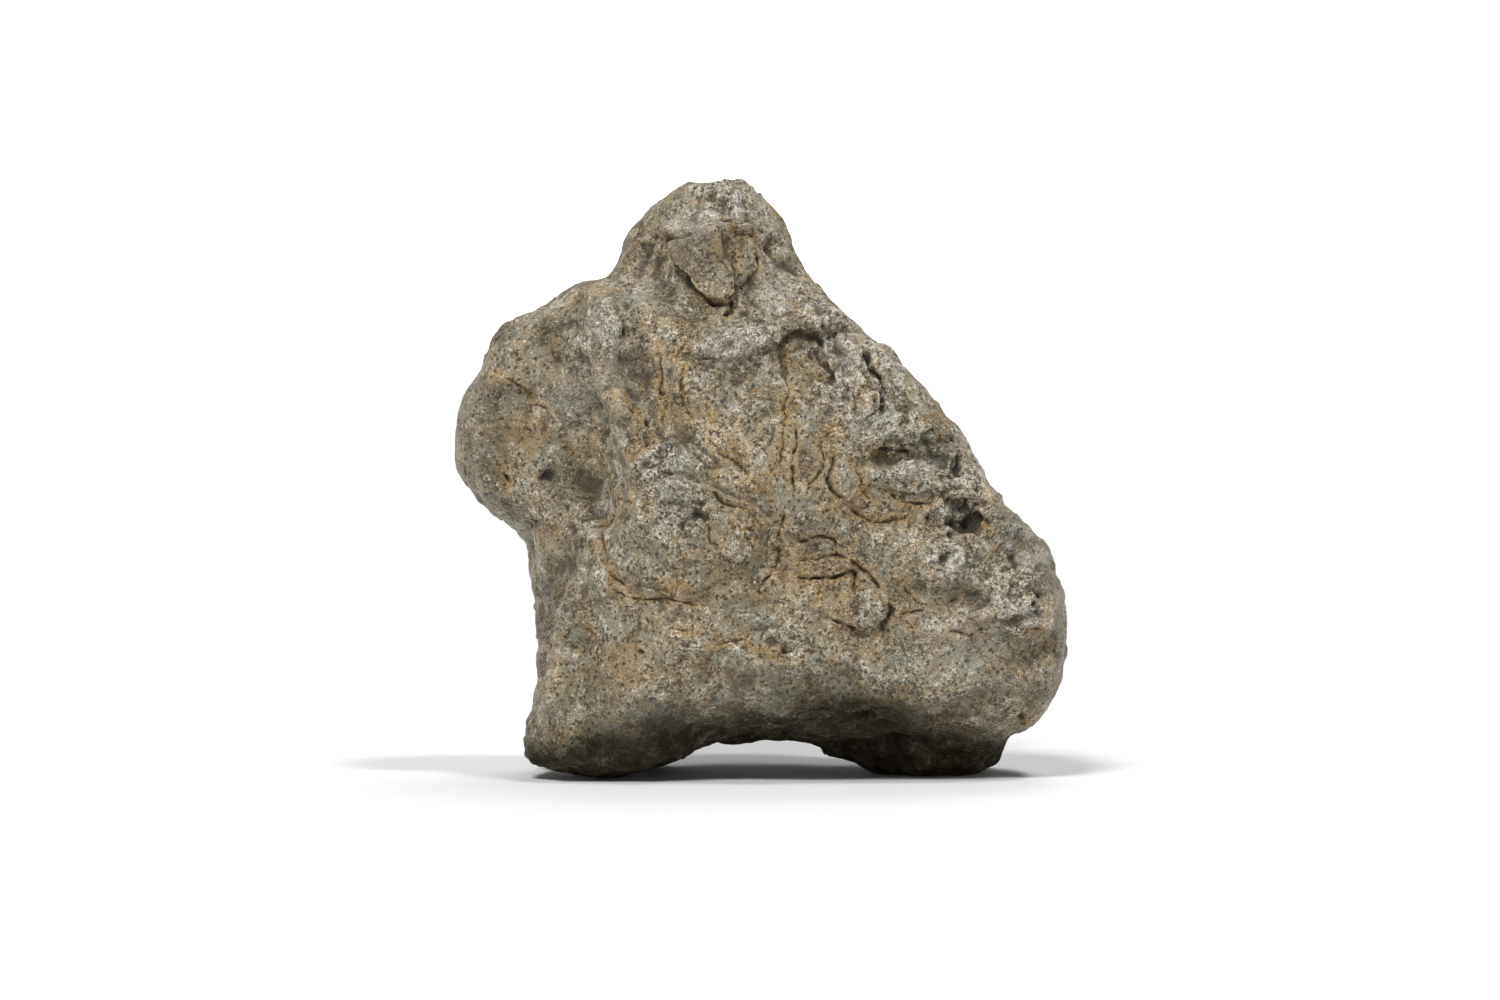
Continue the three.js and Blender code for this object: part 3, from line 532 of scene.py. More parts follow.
def cad_surface():
    """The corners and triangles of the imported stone, with shared corners."""
    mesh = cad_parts["meteorite"].data
    mesh.calc_loop_triangles()
    corners = np.empty(3 * len(mesh.vertices))
    mesh.vertices.foreach_get("co", corners)
    index = np.empty(3 * len(mesh.loop_triangles), np.int64)
    mesh.loop_triangles.foreach_get("vertices", index)
    points, shared = np.unique(np.round(corners.reshape(-1, 3) / MM, 3), axis=0, return_inverse=True)
    triangles = shared.reshape(-1)[index].reshape(-1, 3)
    return points, triangles


def edges_of(triangles):
    """Each edge once, and the three edges of each triangle by number."""
    sides = np.sort(triangles[:, [[0, 1], [1, 2], [2, 0]]].reshape(-1, 2), axis=1)
    span = int(triangles.max()) + 1
    keys, number = np.unique(sides[:, 0] * span + sides[:, 1], return_inverse=True)
    return np.stack([keys // span, keys % span], axis=1), number.reshape(-1, 3)


def sums(index, values, count):
    """Sum of the values that share a number."""
    return np.stack([np.bincount(index, values[:, axis], count) for axis in range(3)], axis=1)


def neighbour_mean(points, edges):
    """Middle of each point's neighbours."""
    both = np.concatenate([edges, edges[:, ::-1]])
    count = np.bincount(both[:, 0], minlength=len(points))
    return sums(both[:, 0], points[both[:, 1]], len(points)) / count[:, None]


def cut(points, triangles, marked, edges, sides, middles):
    """Cuts each marked edge at its middle, and each triangle into two, three or four."""
    place = np.full(len(edges), -1)
    place[marked] = len(points) + np.arange(marked.sum())
    points = np.concatenate([points, middles[marked]])
    at = place[sides]
    number = (at >= 0).sum(axis=1)
    pieces = [triangles[number == 0]]
    for first in range(3):
        a, b, c = np.roll(triangles, -first, axis=1).T
        ab, bc, ca = np.roll(at, -first, axis=1).T
        one = (number == 1) & (ab >= 0)
        two = (number == 2) & (ca < 0)
        pieces += [np.stack(t, axis=1)[one] for t in [(a, ab, c), (ab, b, c)]]
        pieces += [np.stack(t, axis=1)[two] for t in [(ab, b, bc), (a, ab, bc), (a, bc, c)]]
    a, b, c = triangles.T
    ab, bc, ca = at.T
    four = [(a, ab, ca), (ab, b, bc), (ca, bc, c), (ab, bc, ca)]
    pieces += [np.stack(t, axis=1)[number == 3] for t in four]
    return points, np.concatenate(pieces)


def rounded(points, triangles):
    """One step of smooth subdivision: four triangles for each one, on a rounder surface."""
    edges, sides = edges_of(triangles)
    opposite = np.zeros((len(edges), 3))
    for side, corner in ((0, 2), (1, 0), (2, 1)):
        opposite += sums(sides[:, side], points[triangles[:, corner]], len(edges))
    middles = 3 / 8 * points[edges].sum(axis=1) + opposite / 8
    rounder = 5 / 8 * points + 3 / 8 * neighbour_mean(points, edges)
    every = np.ones(len(edges), bool)
    return cut(rounder, triangles, every, edges, sides, middles)


def detail_distance(points):
    """How far each point is from a crack, a plate's edge or the rim of a pit of the front."""
    seen = seen_from_front(points)
    nearest = np.full(len(points), np.inf)
    for width, _, path in CRACKS:
        nearest = np.minimum(nearest, path_distance(seen, path)[0] - width)
    for _, edge, outline in RAISED:
        nearest = np.minimum(nearest, path_distance(seen, outline + outline[:1])[0] - edge / 2)
    for place, wide, high, _ in PITS:
        away = np.linalg.norm(seen - place, axis=1)
        nearest = np.minimum(nearest, np.abs(away - (wide + high) / 2))
    return nearest


def normals_of(points, triangles):
    """The way each point faces."""
    a, b, c = (points[triangles[:, i]] for i in range(3))
    facing = np.cross(b - a, c - a)
    total = sum(sums(triangles[:, i], facing, len(points)) for i in range(3))
    return total / np.maximum(np.linalg.norm(total, axis=1), 1e-12)[:, None]


def refined(points, triangles):
    """Cuts edges until they are short enough for the detail that they carry."""
    for _ in range(CUT_ROUNDS):
        edges, sides = edges_of(triangles)
        ends = points[edges]
        middles = ends.mean(axis=1)
        facing = normals_of(points, triangles)[edges].mean(axis=1)
        front = -facing[:, 1] > FINER_MESH
        wanted = np.where(front, EDGE_FRONT, EDGE_BACK)
        wanted[front & (detail_distance(middles) < DETAIL_REACH)] = EDGE_DETAIL
        marked = np.linalg.norm(ends[:, 0] - ends[:, 1], axis=1) > wanted
        if not marked.any():
            break
        points, triangles = cut(points, triangles, marked, edges, sides, middles)
    edges, _ = edges_of(triangles)
    for _ in range(SMOOTHING_ROUNDS):
        points = (points + neighbour_mean(points, edges)) / 2
    return points, triangles


def swells_and_chips(points, rough, front):
    """Heights of the swells, the grit and the chips on every side."""
    height = np.zeros(len(points))
    for salt, (size, rise, crease) in enumerate(SWELLS + GRIT):
        n = noise(points, size, salt)
        there = 1 if salt < len(SWELLS) else rough * (front if size < FINEST_ALL_ROUND else 1)
        height += there * rise * ((1 - abs(crease)) * n + crease * (2 * np.abs(n) - 0.5))
    for salt, (size, step, tilt) in enumerate(CHIPS, SEEDS["chips"]):
        bend = CHIP_BEND * size * noise(points, size / 2, salt + BEND_SEED)
        there = rough * (front if size < FINEST_ALL_ROUND else 1)
        height += there * step * chipped(points + bend[:, None], size, tilt, salt)
    return height


def crack_nets(points):
    """Heights of the hairline cracks on every side, and distances to them in half widths."""
    height = np.zeros(len(points))
    split = np.full(len(points), UNCRACKED)
    for salt, (size, depth, width, share) in enumerate(CRACK_NETS, SEEDS["nets"]):
        bend = NET_BEND * size * noise(points, size / 3, salt + BEND_SEED)
        near, next_near, _ = cells(points + bend[:, None], size, salt)
        patch = noise(points, NET_PATCH * size, salt + PATCH_SEED)
        there = smooth(patch, 0.55 - 2 * share, 0.75 - 2 * share)
        away = (next_near - near) / 2
        height -= depth * there * hump(away, NARROWEST)
        split = np.minimum(split, away / (width * there + THINNEST))
    return height, split


def pit_fields(points):
    """Heights and marks of the scattered pits on every side."""
    height = np.zeros(len(points))
    pit = np.zeros(len(points))
    for salt, (size, radius, depth, share) in enumerate(PIT_FIELDS, SEEDS["pits"]):
        near, _, mark = cells(points, size, salt)
        reach = radius * np.clip((mark - 1 + share) / share, 0, 1)
        hole = 1 - smooth(near / np.maximum(reach, 1e-6), 0.4, 1.0)
        height -= depth * (reach / radius) * hole
        # The pit mark paints shade into the pits.
        pit = np.maximum(pit, PIT_DARKNESS * hole * (reach > SMALLEST_DARK * radius))
    return height, pit


def drawn_forms(seen):
    """Heights of the soft forms, the plates and the ridges of the front."""
    height = np.zeros(len(seen))
    for rise, place, wide, high in FORMS:
        height += rise * np.exp(-(((seen - place) / (wide, high)) ** 2).sum(axis=1))
    for rise, edge, outline in RAISED:
        away, _ = path_distance(seen, curved(outline + outline[:1]))
        signed = np.where(inside(seen, outline), away, -away)
        height += rise * smooth(signed, -edge / 2, edge / 2)
    for rise, width, path in RIDGES:
        away, _ = path_distance(seen, curved(path))
        height += rise * hump(away, width)
    return height


def drawn_pits(seen, uneven):
    """Heights and marks of the pits of the front."""
    height = np.zeros(len(seen))
    pit = np.zeros(len(seen))
    rim_height, rim_place, rim_width = PIT_RIM
    for place, wide, high, depth in PITS:
        away = np.linalg.norm((seen - place) / (wide, high), axis=1) * (1 + PIT_RAGGED * uneven)
        hole = np.exp(-((1.1 * away) ** 2.2))
        rim = hump(away - rim_place, rim_width)
        height -= depth * (hole - rim_height * rim)
        # The pit mark paints shade into the pits.
        pit = np.maximum(pit, hole * min(1, depth / DARK_DEPTH))
    return height, pit


def drawn_cracks(seen, uneven):
    """Heights of the cracks of the front, distances to them in half widths, and rust by them."""
    height = np.zeros(len(seen))
    split = np.full(len(seen), UNCRACKED)
    rust = np.zeros(len(seen))
    base, gain = OPENING
    opening = np.clip(base + gain * uneven, *OPENING_LIMITS)
    for width, depth, path in CRACKS:
        away, to_end = path_distance(seen, curved(path))
        here = smooth(to_end, -0.05, CRACK_TAPER) * opening
        groove = max(width, NARROWEST)
        height -= CUT_DEPTH * depth * here * hump(away, groove)
        height += LIP_HEIGHT * depth * here * hump(away - LIP_PLACE * groove, groove)
        split = np.minimum(split, away / (DARK_LINE * width * here + THINNEST))
        rust = np.maximum(rust, hump(away, RUST_REACH))
    return height, split, rust


def soft_spots(seen, places):
    """Strength of soft round spots at each place."""
    strength = np.zeros(len(seen))
    for across, up, radius, most in places:
        away = np.linalg.norm(seen - (across, up), axis=1) / radius
        strength = np.maximum(strength, most * np.exp(-away**4))
    return strength


def roughness(points, seen, front):
    """How rough the surface is: in patches all round, and on the front where it is drawn."""
    low, high = ROUGH_SHARES
    patch = noise(points, ROUGH_PATCH, SEEDS["rough"])
    patches = low + (high - low) * smooth(patch, -0.35, 0.35)
    drawn = soft_spots(seen, ROUGH)
    return np.maximum(patches + front * (drawn - patches), SMOOTHEST)


def underside(points, seen, facing, near):
    """How far each point is in the painted shade of the underside."""
    across, edge = np.array(UNDERSIDE).T
    wave, rise = UNDERSIDE_WAVE
    near = np.maximum(near, smooth(-facing[:, 2], *FACES_DOWN))
    edge = near * np.interp(seen[:, 0], across, edge) + (1 - near) * UNDERSIDE_ELSEWHERE
    edge += rise * noise(points, wave, SEEDS["underside"])
    low = smooth(edge - points[:, 2], *UNDERSIDE_SOFT)
    return low * smooth(-facing[:, 2], *FACES_UP)


def wobbles(points):
    """How far each point is moved before lines and stains are drawn at it."""
    wobble = np.zeros((len(points), 2))
    for salt, (size, reach) in enumerate(WOBBLES, SEEDS["wobbles"]):
        wobble += reach * np.stack([noise(points, size, salt + turn) for turn in (0, 10)], axis=1)
    return wobble


def carved(points, triangles):
    """The stone with its relief, and what the material wants to know about each point."""
    facing = normals_of(points, triangles)
    front = smooth(-facing[:, 1], *DRAWN_RELIEF)
    near = smooth(-facing[:, 1], *DRAWN_PATCHES_AND_SHADE)
    seen = seen_from_front(points)
    wobble = wobbles(points)
    rough = roughness(points, seen + STRAY["rough"] * wobble, front)
    net_height, split = crack_nets(points)
    pit_height, pit = pit_fields(points)
    height = swells_and_chips(points, rough, front) + net_height + pit_height

    drawn = front > 0
    share = front[drawn]
    uneven = noise(points[drawn], UNEVEN, SEEDS["uneven"])
    place = (seen + wobble)[drawn]
    pit_relief, drawn_pit = drawn_pits(place, uneven)
    crack_relief, drawn_split, rust = drawn_cracks(place, uneven)
    height[drawn] += share * (drawn_forms(place) + pit_relief + crack_relief)
    split[drawn] = np.minimum(split[drawn] + UNCRACKED * share, drawn_split / share)
    pit[drawn] = np.maximum(pit[drawn], share * drawn_pit)
    rusty = soft_spots(seen + STRAY["rusty"] * wobble, RUSTY)
    rusty[drawn] = np.maximum(rusty[drawn], CRACK_RUST * rust)

    marks = {
        "split": split,
        "pit": pit,
        "rough": rough,
        "rusty": front * rusty,
        # Pale and dim are partly painted light and painted shade; under is painted shade.
        "pale": near * soft_spots(seen + STRAY["pale"] * wobble, PALE),
        "dim": near * soft_spots(seen + STRAY["dim"] * wobble, DIM),
        "under": underside(points, seen, facing, near),
    }
    standing = smooth(points[:, 2], 0, FOOT_HEIGHT)
    return points + (height * standing)[:, None] * facing, marks


def worn(points, triangles):
    """How far each point stands out of its surroundings: 0 in a hollow, 1 on a ridge."""
    edges, _ = edges_of(triangles)
    around = points
    for _ in range(CONVEXITY_ROUNDS):
        around = (around + neighbour_mean(around, edges)) / 2
    out = ((points - around) * normals_of(around, triangles)).sum(axis=1)
    return np.clip(0.5 + out / CONVEXITY_RANGE, 0, 1)


def stone_object():
    """The finished stone as a Blender object, with its marks as attributes."""
    points, triangles = rounded(*cad_surface())
    points, triangles = refined(points, triangles)
    points, marks = carved(points, triangles)
    marks["worn"] = worn(points, triangles)
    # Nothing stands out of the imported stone's box.
    low, high = (np.array(corner) / MM for corner in cad_box)
    points = np.clip(points, low, high)
    mesh = bpy.data.meshes.new("stone")
    mesh.vertices.add(len(points))
    mesh.vertices.foreach_set("co", (points * MM).ravel())
    mesh.loops.add(triangles.size)
    mesh.loops.foreach_set("vertex_index", triangles.ravel().astype(np.int32))
    mesh.polygons.add(len(triangles))
    mesh.polygons.foreach_set("loop_start", np.arange(0, triangles.size, 3, dtype=np.int32))
    for name, values in marks.items():
        mesh.attributes.new(name, "FLOAT", "POINT").data.foreach_set("value", values.astype(np.float32))
    mesh.update(calc_edges=True)
    mesh.validate()
    mesh.polygons.foreach_set("use_smooth", np.ones(len(triangles), bool))
    obj = bpy.data.objects.new("stone", mesh)
    bpy.context.scene.collection.objects.link(obj)
    return obj


class Nodes:
    """Short ways to build a material's nodes."""

    def __init__(self, name):
        self.material = bpy.data.materials.new(name)
        self.material.use_nodes = True
        self.tree = self.material.node_tree
        self.shader = self.tree.nodes["Principled BSDF"]

    def add(self, kind, inputs=(), **settings):
        """A new node with its settings and inputs."""
        node = self.tree.nodes.new(kind)
        for key, value in settings.items():
            setattr(node, key, value)
        for key, value in dict(inputs).items():
            self.put(node, key, value)
        return node

    def put(self, node, key, value):
        """Links an input to another node's output, or sets it to a value."""
        if isinstance(value, bpy.types.NodeSocket):
            self.tree.links.new(value, node.inputs[key])
        else:
            node.inputs[key].default_value = value

    def finished(self, inputs):
        """The material, with these inputs of its shader."""
        for key, value in inputs.items():
            self.put(self.shader, key, value)
        return self.material

    def mark(self, name):
        """One of the marks that the mesh carries."""
        return self.add("ShaderNodeAttribute", attribute_name=name).outputs["Fac"]

    def grain(self, vector, scale, detail, roughness=0.5, distortion=0.0):
        """Cloudy noise, around 0.5."""
        inputs = {"Vector": vector, "Scale": scale, "Detail": detail, "Roughness": roughness,
                  "Distortion": distortion}
        return self.add("ShaderNodeTexNoise", inputs).outputs["Fac"]

    def winding(self, vector, noise, level):
        """How far a cloudy noise is from a level. It is 0 along thin winding lines."""
        return self.math("ABSOLUTE", self.total((self.grain(vector, *noise), 1.0), add=-level))

    def spots(self, vector, scale, output="Distance"):
        """Scattered cells: the distance to the nearest one's middle, or its own random colour."""
        node = self.add("ShaderNodeTexVoronoi", {"Vector": vector, "Scale": scale})
        return node.outputs[output]

    def ranged(self, value, low, high, to_low=0.0, to_high=1.0):
        """The value brought from the first range to the second, with smooth ends."""
        inputs = {"Value": value, "From Min": low, "From Max": high, "To Min": to_low, "To Max": to_high}
        return self.add("ShaderNodeMapRange", inputs, interpolation_type="SMOOTHSTEP").outputs["Result"]

    def scaled(self, vector, scale):
        node = self.add("ShaderNodeVectorMath", {0: vector, "Scale": scale}, operation="SCALE")
        return node.outputs["Vector"]

    def centred(self, colour, scale):
        """A random colour as a vector to any side, times a number."""
        return self.scaled(self.vector("SUBTRACT", colour, (0.5, 0.5, 0.5)), scale)

    def shifted(self, vector, scale, reach):
        """The vector shifted at random, so that what is drawn at it has ragged edges."""
        shift = self.add("ShaderNodeTexNoise", {"Vector": vector, "Scale": scale, "Detail": 1.0})
        return self.vector("ADD", vector, self.centred(shift.outputs["Color"], 2 * reach))

    def total(self, *terms, add=0.0):
        """Sum of values times their weights, and a number to add."""
        result = add
        for value, weight in terms:
            inputs = {0: value, 1: weight, 2: result}
            result = self.add("ShaderNodeMath", inputs, operation="MULTIPLY_ADD").outputs["Value"]
        return result

    def parts(self, value):
        """The three numbers of a vector or a colour."""
        return self.add("ShaderNodeSeparateXYZ", {0: value}).outputs

    def vector(self, operation, a, b=(0, 0, 0)):
        return self.add("ShaderNodeVectorMath", {0: a, 1: b}, operation=operation).outputs["Vector"]

    def math(self, operation, a, b=0.0):
        return self.add("ShaderNodeMath", {0: a, 1: b}, operation=operation).outputs["Value"]

    def product(self, a, b):
        return self.math("MULTIPLY", a, b)

    def painted(self, colour, factor, over):
        """The colour with another one over it, as much as the factor says."""
        node = self.add("ShaderNodeMix", {0: factor, 6: colour, 7: (*over, 1)}, data_type="RGBA")
        return node.outputs[2]

    def ramp(self, value, stops):
        """The value as a colour between those of the stops."""
        node = self.add("ShaderNodeValToRGB", {"Fac": value})
        elements = node.color_ramp.elements
        while len(elements) < len(stops):
            elements.new(0.5)
        for element, (position, colour) in zip(elements, stops):
            element.position = position
            element.color = (*colour, 1)
        return node.outputs["Color"]


# Colours of the stone, as linear red, green and blue, and its tones from dark to light.
# The darkest colour, of pores and cracks, and of the painted shade in the pits and on the underside.
SHADE = (0.014, 0.011, 0.005)
# Also the painted shade in the hollows and in part of the dim patches.
DARK = (0.045, 0.034, 0.018)
BROWN = (0.125, 0.095, 0.056)
OLIVE = (0.212, 0.182, 0.110)
LIGHT = (0.350, 0.310, 0.222)
# The palest tone, and also the colour of the painted highlights and glints and of the painted light in
# the pale patches.
PALE_GRAIN_AND_HIGHLIGHT = (0.680, 0.640, 0.570)
RUST = (0.400, 0.235, 0.068)
TEAL = (0.180, 0.190, 0.145)
TONES = [(0.10, DARK), (0.30, BROWN), (0.50, OLIVE), (0.72, LIGHT), (0.95, PALE_GRAIN_AND_HIGHLIGHT)]

# Grains of the stone per millimetre, coarse and fine, pores and facets, and the waves per
# millimetre and their reach that make the edges of grains and facets ragged.
GRAINS = (8.5, 17.0)
PORES = 2.6
FACETS = 3.2
RAGGED_GRAINS = (18.0, 0.045)
RAGGED_FACETS = (6.0, 0.12)

# Cloudy noises: clouds per millimetre, detail, roughness and distortion.
MOTTLES = (1.5, 7.0, 0.75, 0.5)
SOFT = (9.0, 3.0, 0.75)
SPECKLES = (0.6, 3.0, 0.6)
CLOUDS = (0.45, 2.0)
TEAL_CLOUDS = (0.9, 5.0, 0.65, 0.6)
RUST_CLOUDS = (0.6, 5.0, 0.65, 0.8)
RUST_VEINS = (0.8, 5.0, 0.6, 0.6)
GLINTS = (11.0, 3.0, 0.65, 1.5)
HAIRS = (0.45, 5.0, 0.55, 0.5)
HAIR_GAPS = (0.9, 2.0)

# Levels of the noises along which rust veins and hairlines wind.
VEIN_LEVEL = 0.5
HAIR_LEVEL = 0.45

# Between the first two values of its field, a layer goes from the third to the fourth, or from 0
# to 1 where there are only two.
SPECKLED = (0.38, 0.62, 0.35, 1.0)
TEAL_EDGE = (0.50, 0.60)
TEAL_GRAINS = (0.2, 0.8, 0.24, 0.8)
RUST_EDGE = (0.50, 0.64, 0.0, 0.6)
VEIN_EDGE = (0.03, 0.0, 0.0, 0.64)
RUST_FLECKS = (0.8, 1.6, 0.0, 0.9)
CREST_HIGHLIGHT = (0.52, 0.85)
CREST_GRAINS = (0.3, 0.9)
CREST_ROUGH = (0.2, 0.9, 0.1, 0.75)
GLINT_EDGE = (0.665, 0.715)
PEPPER = (0.14, 0.09, 0.0, 0.85)
HOLLOW_SHADE = (0.47, 0.05, 0.0, 0.8)
PALE_GRAINS = (0.35, 0.95, 0.15, 1.3)
PORE_EDGE = (0.16, 0.08)
PORE_PATCHES = (0.45, 0.6)
HAIR_GAP_EDGE = (0.42, 0.55)
HAIR_EDGE = (1.2, 0.4, 0.0, 0.7)
SPLIT_EDGE = (1.2, 0.3, 0.0, 0.9)
SPLIT_GROOVE = (2.0, 0.4)
PIT_EDGE = (0.3, 0.9, 0.0, 0.93)
UNDER_MOTTLES = (0.38, 0.62, 0.95, 0.76)
UNDER_GLOSS = (0.0, 1.0, 0.5, 0.1)
FACET_TILT = (0.2, 1.0, 0.1, 0.7)

# How far the soft noise moves the edges of cracks and pits.
RAGGED_SPLIT = 0.9
RAGGED_PIT = 0.4

# Bumps of the grains: height in millimetres and strength. Tilt of the grains. Refraction.
BUMP_HEIGHT = 0.09
BUMP_STRENGTH = 0.8
GRAIN_TILT = 0.5
REFRACTION = 1.5


class StoneNodes(Nodes):
    """Nodes with the random fields that several layers of the stone share."""

    def __init__(self, name):
        super().__init__(name)
        self.place = self.scaled(self.add("ShaderNodeTexCoord").outputs["Object"], 1 / MM)
        self.ragged = self.shifted(self.place, *RAGGED_GRAINS)
        coarse, self.fine = (self.spots(self.ragged, scale, "Color") for scale in GRAINS)
        self.coarse_tone, self.coarse_kind, self.coarse_rare = self.parts(coarse)
        self.fine_tone, self.fine_kind, self.fine_rare = self.parts(self.fine)
        self.mottled = self.grain(self.place, *MOTTLES)
        self.soft = self.grain(self.place, *SOFT)
        self.split = self.ragged_mark("split", RAGGED_SPLIT)

    def ragged_mark(self, name, reach):
        """A mark with ragged edges."""
        return self.total((self.mark(name), 1.0), (self.soft, 2 * reach), add=-reach)


def ground(n):
    """Mottled and cloudy olive-brown with light and dark grains."""
    speckled = n.ranged(n.grain(n.place, *SPECKLES), *SPECKLED)
    speckled = n.math("MAXIMUM", speckled, n.mark("rough"))
    grains = n.total((n.coarse_tone, 0.22), (n.fine_tone, 0.50), (n.soft, 1.3), add=-1.01)
    grains = n.product(grains, speckled)
    cloudy = n.grain(n.place, *CLOUDS)
    return n.ramp(n.total((n.mottled, 2.1), (cloudy, 0.6), (grains, 1.2), add=-0.87), TONES)


def tinted(n, colour):
    """Grey-green patches, then rust in patches, in veins and where the mesh is marked rusty."""
    teal = n.ranged(n.grain(n.place, *TEAL_CLOUDS), *TEAL_EDGE)
    teal = n.product(teal, n.ranged(n.coarse_kind, *TEAL_GRAINS))
    colour = n.painted(colour, teal, TEAL)
    patches = n.ranged(n.grain(n.place, *RUST_CLOUDS), *RUST_EDGE)
    veins = n.ranged(n.winding(n.place, RUST_VEINS, VEIN_LEVEL), *VEIN_EDGE)
    rusty = n.math("MAXIMUM", n.math("MAXIMUM", patches, veins), n.mark("rusty"))
    flecks = n.ranged(n.total((n.fine_kind, 1.0), (n.soft, 1.6)), *RUST_FLECKS)
    return n.painted(colour, n.product(rusty, flecks), RUST)


def speckled_over(n, colour):
    """Painted highlights on the crests of rough parts, painted white glints, and dark grains."""
    # Painted highlight on the crests.
    crest_highlight = n.product(n.ranged(n.mark("worn"), *CREST_HIGHLIGHT), n.ranged(n.fine_tone, *CREST_GRAINS))
    crest_highlight = n.product(crest_highlight, n.ranged(n.mark("rough"), *CREST_ROUGH))
    colour = n.painted(colour, crest_highlight, PALE_GRAIN_AND_HIGHLIGHT)
    # Painted glints.
    glints = n.grain(n.ragged, *GLINTS)
    glints = n.total((glints, 1.0), (n.mark("rough"), 0.06), (n.fine_rare, 0.08))
    colour = n.painted(colour, n.ranged(glints, *GLINT_EDGE), PALE_GRAIN_AND_HIGHLIGHT)
    return n.painted(colour, n.ranged(n.coarse_rare, *PEPPER), DARK)


def patches_and_painted_shade_and_light(n, colour):
    """Dark patches, partly the stone's own colour and partly painted shade; painted shade in the
    hollows; and pale patches, partly its own colour and partly painted light, which show most on the
    lighter grains.
    """
    # Dark patches: partly painted shade.
    colour = n.painted(colour, n.mark("dim"), DARK)
    # Painted shade in the hollows.
    colour = n.painted(colour, n.ranged(n.mark("worn"), *HOLLOW_SHADE), DARK)
    bright = n.total((n.coarse_tone, 0.5), (n.fine_tone, 0.7))
    # Pale patches: partly painted light.
    pale = n.product(n.mark("pale"), n.ranged(bright, *PALE_GRAINS))
    return n.painted(colour, pale, PALE_GRAIN_AND_HIGHLIGHT)


def opened(n, colour):
    """Dark pores, hairlines and cracks, painted shade in the pits, and painted shade on the underside.
    """
    pores = n.ranged(n.spots(n.ragged, PORES), *PORE_EDGE)
    pores = n.product(pores, n.ranged(n.soft, *PORE_PATCHES))
    colour = n.painted(colour, pores, SHADE)
    gaps = n.ranged(n.grain(n.place, *HAIR_GAPS), *HAIR_GAP_EDGE)
    hairs = n.total((n.winding(n.place, HAIRS, HAIR_LEVEL), 110.0), (gaps, 3.0))
    colour = n.painted(colour, n.ranged(hairs, *HAIR_EDGE), DARK)
    colour = n.painted(colour, n.ranged(n.split, *SPLIT_EDGE), SHADE)
    # Painted shade in the pits.
    colour = n.painted(colour, n.ranged(n.ragged_mark("pit", RAGGED_PIT), *PIT_EDGE), SHADE)
    # Painted shade on the underside.
    under = n.product(n.mark("under"), n.ranged(n.mottled, *UNDER_MOTTLES))
    return n.painted(colour, under, SHADE)


def faceted(n):
    """The way the surface faces: bumps of the grains, grooves of the cracks, tilted grains and
    larger facets."""
    groove = n.ranged(n.split, *SPLIT_GROOVE)
    grit = n.total((n.spots(n.ragged, GRAINS[0]), 0.5), (n.soft, 1.2), (groove, -1.0))
    inputs = {"Height": grit, "Strength": BUMP_STRENGTH, "Distance": BUMP_HEIGHT * MM}
    bump = n.add("ShaderNodeBump", inputs).outputs["Normal"]
    facets = n.spots(n.shifted(n.place, *RAGGED_FACETS), FACETS, "Color")
    facets = n.centred(facets, n.ranged(n.mark("rough"), *FACET_TILT))
    tilt = n.vector("ADD", n.centred(n.fine, GRAIN_TILT), facets)
    return n.vector("NORMALIZE", n.vector("ADD", bump, tilt))


def stone_material():
    """Olive-brown stone in layers of colour. Its grains differ in gloss, and its pits and its
    underside are dull."""
    n = StoneNodes("stone")
    colour = ground(n)
    for layer in (tinted, speckled_over, patches_and_painted_shade_and_light, opened):
        colour = layer(n, colour)
    dull = n.total((n.fine_kind, 0.35), (n.mark("under"), 0.3), (n.mark("pit"), 0.3), add=0.30)
    gloss = n.ranged(n.mark("under"), *UNDER_GLOSS)
    return n.finished({
        "Base Color": colour,
        "Roughness": dull,
        "IOR": REFRACTION,
        "Specular IOR Level": gloss,
        "Normal": faceted(n),
    })


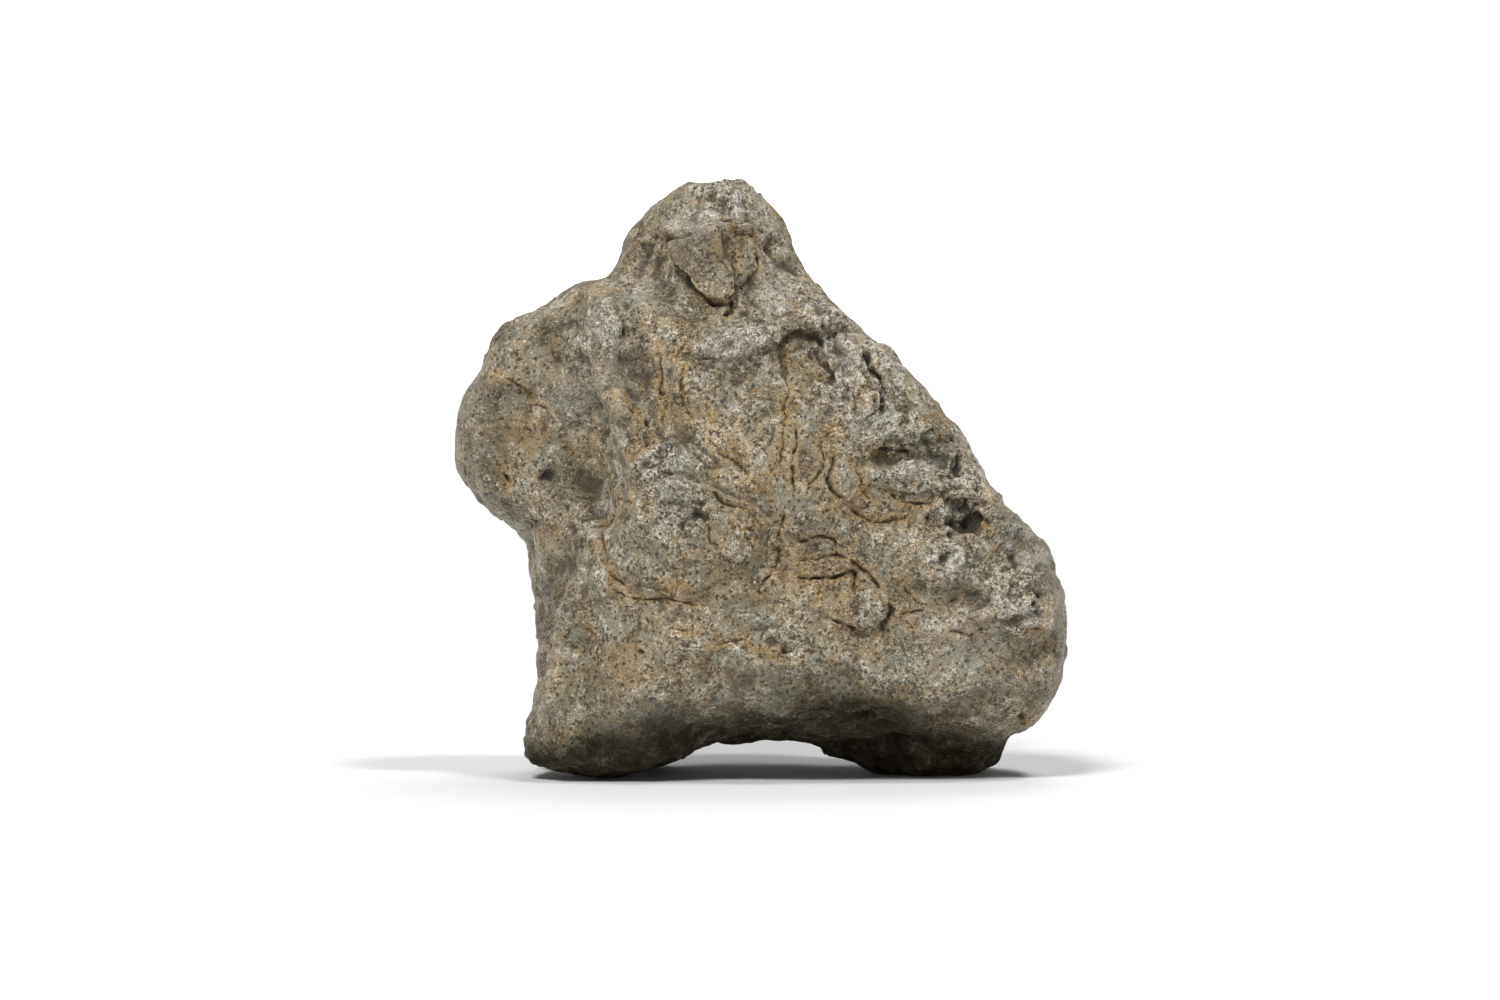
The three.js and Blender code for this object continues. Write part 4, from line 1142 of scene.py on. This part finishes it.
# The stage of the renders, in metres: a round floor and a low wall along its edge.
STAGE = {"vertices": 96, "radius": 1.5}
WALL_HEIGHT = 0.16
WHITE = (1, 1, 1, 1)
FLOOR = {"Base Color": (0.72, 0.72, 0.72, 1), "Roughness": 0.7}
WALL = {"Base Color": (0.9, 0.9, 0.9, 1), "Emission Color": WHITE, "Emission Strength": 0.9}
# What is nearer to the camera than this isn't drawn, in metres.
NEAREST_DRAWN = 0.01


def coated(name, inputs):
    """The object made last, with a name and a plain material."""
    made = bpy.context.object
    made.name = name
    made.data.materials.append(Nodes(name).finished(inputs))
    return made


def stage():
    """A pale floor, and a low glowing wall all round it."""
    bpy.ops.mesh.primitive_circle_add(fill_type="NGON", **STAGE)
    floor = coated("floor", FLOOR)
    middle = (0, 0, WALL_HEIGHT / 2)
    bpy.ops.mesh.primitive_cylinder_add(
        depth=WALL_HEIGHT, end_fill_type="NOTHING", location=middle, **STAGE
    )
    wall = coated("wall", WALL)


def add_lights():
    """An even sky, and three soft parallel lights."""
    world = bpy.data.worlds.new("studio")
    world.use_nodes = True
    background = world.node_tree.nodes["Background"]
    background.inputs["Color"].default_value = WHITE
    background.inputs["Strength"].default_value = SKY
    bpy.context.scene.world = world

    for name, towards, spread, strength in LIGHTS:
        light = bpy.data.lights.new(name, "SUN")
        light.angle = math.radians(spread)
        light.energy = strength
        lamp = bpy.data.objects.new(name, light)
        lamp.rotation_euler = (-Vector(towards)).to_track_quat("-Z", "Y").to_euler()
        bpy.context.scene.collection.objects.link(lamp)


def add_camera():
    """A camera with a long lens, straight in front of the stone and a little above it."""
    data = bpy.data.cameras.new("camera")
    data.sensor_width = SENSOR_WIDTH
    data.lens = SENSOR_WIDTH * VIEW_DISTANCE / VIEW_WIDTH
    data.clip_start = NEAREST_DRAWN
    camera = bpy.data.objects.new("camera", data)
    back = Vector((0, -math.cos(VIEW_ELEVATION), math.sin(VIEW_ELEVATION)))
    camera.location = (Vector(VIEW_CENTRE) + VIEW_DISTANCE * back) * MM
    camera.rotation_euler = (-back).to_track_quat("-Z", "Y").to_euler()
    bpy.context.scene.collection.objects.link(camera)
    bpy.context.scene.camera = camera


stone = stone_object()
stone.data.materials.append(stone_material())
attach(stone, "root")
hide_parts("meteorite")

stage()
add_lights()
add_camera()
bpy.context.scene.view_settings.view_transform = "Standard"
